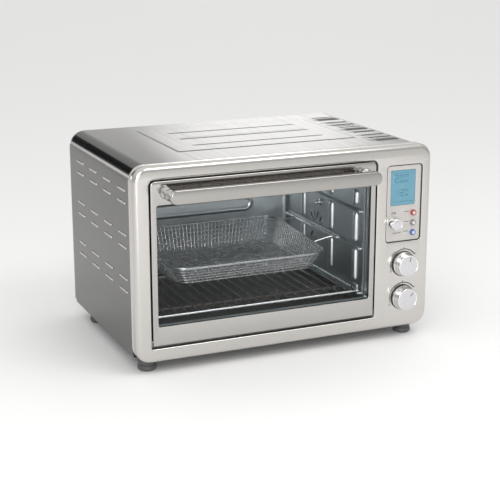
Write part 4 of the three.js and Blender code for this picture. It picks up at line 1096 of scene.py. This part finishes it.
def basket_rim_shape():
    """The rim wire, and on each side a twin rail that slides on the guide, hung from the rim."""
    rim = BASKET_RIM
    low, high = box("basket_frame")
    left, right = rim["centre"] - rim["half"], rim["centre"] + rim["half"]
    flat = grown(rounded(left, right, FACE + rim["front"], FACE + rim["rear"], BASKET["corner"], steps=8), 0)
    parts = [tubes(np.insert(flat, 2, basket_height(flat[:, 1], 1.0), axis=1), 2.0, 10, closed=True)]
    height = GUIDE_TOPS[1] + RAIL["lift"]
    front, rear, wire = FACE + RAIL["front"], FACE + RAIL["rear"], RAIL["wire"]
    for outer, inwards, edge_x in ((low[0] + wire, 1, left), (high[0] - wire, -1, right)):
        inner = outer + RAIL["wide"] * inwards
        twin = rounded(min(outer, inner), max(outer, inner), front, rear, RAIL["round"], steps=4)
        parts.append(tubes(np.insert(grown(twin, 0), 2, height, axis=1), wire, 10, closed=True))
        for depth, foot in HANGER["depths"]:
            y, end = FACE + depth, FACE + foot
            bend = (inner + HANGER["out"] * inwards, y + (end - y) * HANGER["share"], height - HANGER["drop"])
            hang = [(inner, y, height), bend, (edge_x, end, basket_height(end, 1.0))]
            parts.append(tubes(soften(hang, 5, 5), HANGER["wire"], 10))
    return together(*parts)


def make_inside():
    """The rack, the crumb tray and the basket."""
    frame_wires, rods = rack_shapes()
    put("rack_wires", frame_wires, wire_chrome, "rack", ["wire_rack"])
    # The rods take the darkened steel, painted shade; the frame wires stay bright.
    put("rack_rods", rods, rod_shaded_steel, "rack", ["wire_rack"])
    put("tray_pressing", tray_shape(), tray_steel, "tray", ["crumb_tray"])
    weave = together(basket_wires(True), basket_wires(False), basket_hoops())
    put("basket_weave", weave, wire_chrome, "basket", ["basket_mesh"], sharp=80)
    put("basket_rim_wire", basket_rim_shape(), wire_chrome, "basket", ["basket_frame"])


# ---------------------------------------------------------------- feet, rear and underside

FOOT_TURNING = [(0, 3), (1.2, 1.2), (3, 0), (8, 0.6), (9, 2.4), (10.5, 2.4), (11.5, 0.8), (19.6, 0.6)]
FOOT_BUSH = [(19.6, 8), (24, 8), (24, 0)]


def make_feet():
    """Rubber feet: a chamfered pad with a waist, a shoulder and a bush into the base."""
    for row in ("front", "rear"):
        for side in ("left", "right"):
            node = f"foot_{row}_{side}"
            low, high = box(node)
            x, y, _ = middle(node)
            wide = (high[0] - low[0]) / 2
            profile = [(0, 0)] + [(level, wide - waist) for level, waist in FOOT_TURNING] + FOOT_BUSH
            foot = turned(soften(profile, 0.9, 3), (0, 0, 1), (x, y, 0), 40)
            put(f"rubber_foot_{row}_{side}", foot, foot_rubber, "housing", [node])


def dress_frame():
    """Finishes for the CAD nodes that stay in sight."""
    dress(casing_steel, "base_plate")
    dress(zinc_steel, "rear_cover", "fan_shroud", "fan_motor", "encoder")
    dress(zinc_steel, "rotary_switch_upper", "rotary_switch_lower", "dial_shaft_upper", "dial_shaft_lower")
    dress(zinc_steel, *[f"rear_screw_{number}" for number in range(1, 5)])
    for part in ("pin", "bracket", "spring"):
        dress(zinc_steel, f"hinge_{part}_left", f"hinge_{part}_right")
    dress(cavity_steel, "cavity_front_frame", "cavity_roof", "cavity_floor", "door_liner")
    dress(fan_aluminium, "fan_blade")
    dress(black_plastic, "cord_gland")
    dress(board_green, "control_board", "power_board")


# ---------------------------------------------------------------- stage

CAMERA_PLACE = (-0.8163, -1.8603, 0.6971)
CAMERA_AIM = (0.3873, 0.8828, -0.2659)
FLOOR_REACH = 14
SOFTBOXES = (
    ("softbox_front", (-1.3, -2.2, 1.6), (0, -0.5, 0), 1.4, 1.0, 13),
    ("softbox_low", (-0.9, -2.3, 0.5), (0, 0.1, 0.17), 0.9, 0.6, 13),
    ("softbox_top", (0.5, -1.2, 1.9), (0.1, -0.5, 0), 1.2, 0.9, 12),
)


def make_camera():
    """The camera, to the left of the oven and a little above it."""
    data = bpy.data.cameras.new("camera")
    data.lens = 90
    data.sensor_width = 36
    camera = bpy.data.objects.new("camera", data)
    camera.location = CAMERA_PLACE
    camera.rotation_mode = "QUATERNION"
    camera.rotation_quaternion = Vector(CAMERA_AIM).to_track_quat("-Z", "Y")
    bpy.context.scene.collection.objects.link(camera)
    bpy.context.scene.camera = camera


def make_floor():
    """A wide pale floor."""
    mesh = bpy.data.meshes.new("floor")
    reach = FLOOR_REACH
    mesh.from_pydata([(-reach, -reach, 0), (reach, -reach, 0), (reach, reach, 0), (-reach, reach, 0)], [],
                     [(0, 1, 2, 3)])
    material = finish("floor_paint", (0.9, 0.9, 0.9), roughness=0.75)
    mesh.materials.append(material)
    floor = bpy.data.objects.new("floor", mesh)
    bpy.context.scene.collection.objects.link(floor)


def softbox(name, place, aim, width, height, power):
    """A soft rectangular studio light."""
    data = bpy.data.lights.new(name, "AREA")
    data.shape = "RECTANGLE"
    data.size, data.size_y, data.energy = width, height, power
    light = bpy.data.objects.new(name, data)
    light.location = place
    light.rotation_mode = "QUATERNION"
    light.rotation_quaternion = (Vector(aim) - Vector(place)).to_track_quat("-Z", "Y")
    bpy.context.scene.collection.objects.link(light)


# Each patch is a direction, the angle in degrees up to which it is full, the one where it ends, and its gain.
SKY_BASE = 0.6
SKY_LEAST = 0.02
SKY_PATCHES = (
    ((-0.265, 0.935, 0.23), 6, 10, -2.0),
    ((-0.4, 0.92, 0.02), 3, 7, 2.2),
    ((0.41, 0.9, 0.18), 2, 7, 1.3),
    ((0.46, 0.87, 0.15), 10, 22, 0.3),
    ((0, 0, 1), 20, 75, 0.4),
)


def make_sky():
    """A pale studio all round, brighter overhead and behind on the right. Behind on the left stand a dark
    screen and a bright low panel."""
    world = bpy.data.worlds.new("studio")
    bpy.context.scene.world = world
    world.use_nodes = True
    nodes, links = world.node_tree.nodes, world.node_tree.links
    place = nodes.new("ShaderNodeTexCoord")
    base = nodes.new("ShaderNodeValue")
    base.outputs[0].default_value = SKY_BASE
    level = base.outputs[0]
    for direction, near, far, gain in SKY_PATCHES:
        dot = nodes.new("ShaderNodeVectorMath")
        dot.operation = "DOT_PRODUCT"
        dot.inputs[1].default_value = tuple(unit(direction))
        spread = nodes.new("ShaderNodeMapRange")
        spread.interpolation_type = "SMOOTHSTEP"
        spread.inputs["From Min"].default_value = math.cos(math.radians(far))
        spread.inputs["From Max"].default_value = math.cos(math.radians(near))
        spread.inputs["To Min"].default_value = 0.0
        spread.inputs["To Max"].default_value = gain
        add = nodes.new("ShaderNodeMath")
        add.operation = "ADD"
        links.new(place.outputs["Generated"], dot.inputs[0])
        links.new(dot.outputs["Value"], spread.inputs["Value"])
        links.new(level, add.inputs[0])
        links.new(spread.outputs["Result"], add.inputs[1])
        level = add.outputs[0]
    least = nodes.new("ShaderNodeMath")
    least.operation = "MAXIMUM"
    least.inputs[1].default_value = SKY_LEAST
    links.new(level, least.inputs[0])
    links.new(least.outputs[0], nodes["Background"].inputs["Strength"])
    nodes["Background"].inputs["Color"].default_value = (1, 0.995, 0.985, 1)


def make_stage():
    """The camera, the floor, the sky and the softboxes."""
    bpy.context.scene.view_settings.view_transform = "Standard"
    make_camera()
    make_floor()
    make_sky()
    for values in SOFTBOXES:
        softbox(*values)


make_stage()
make_casing()
make_fascia()
make_controls()
make_door()
make_cavity()
make_inside()
make_feet()
dress_frame()
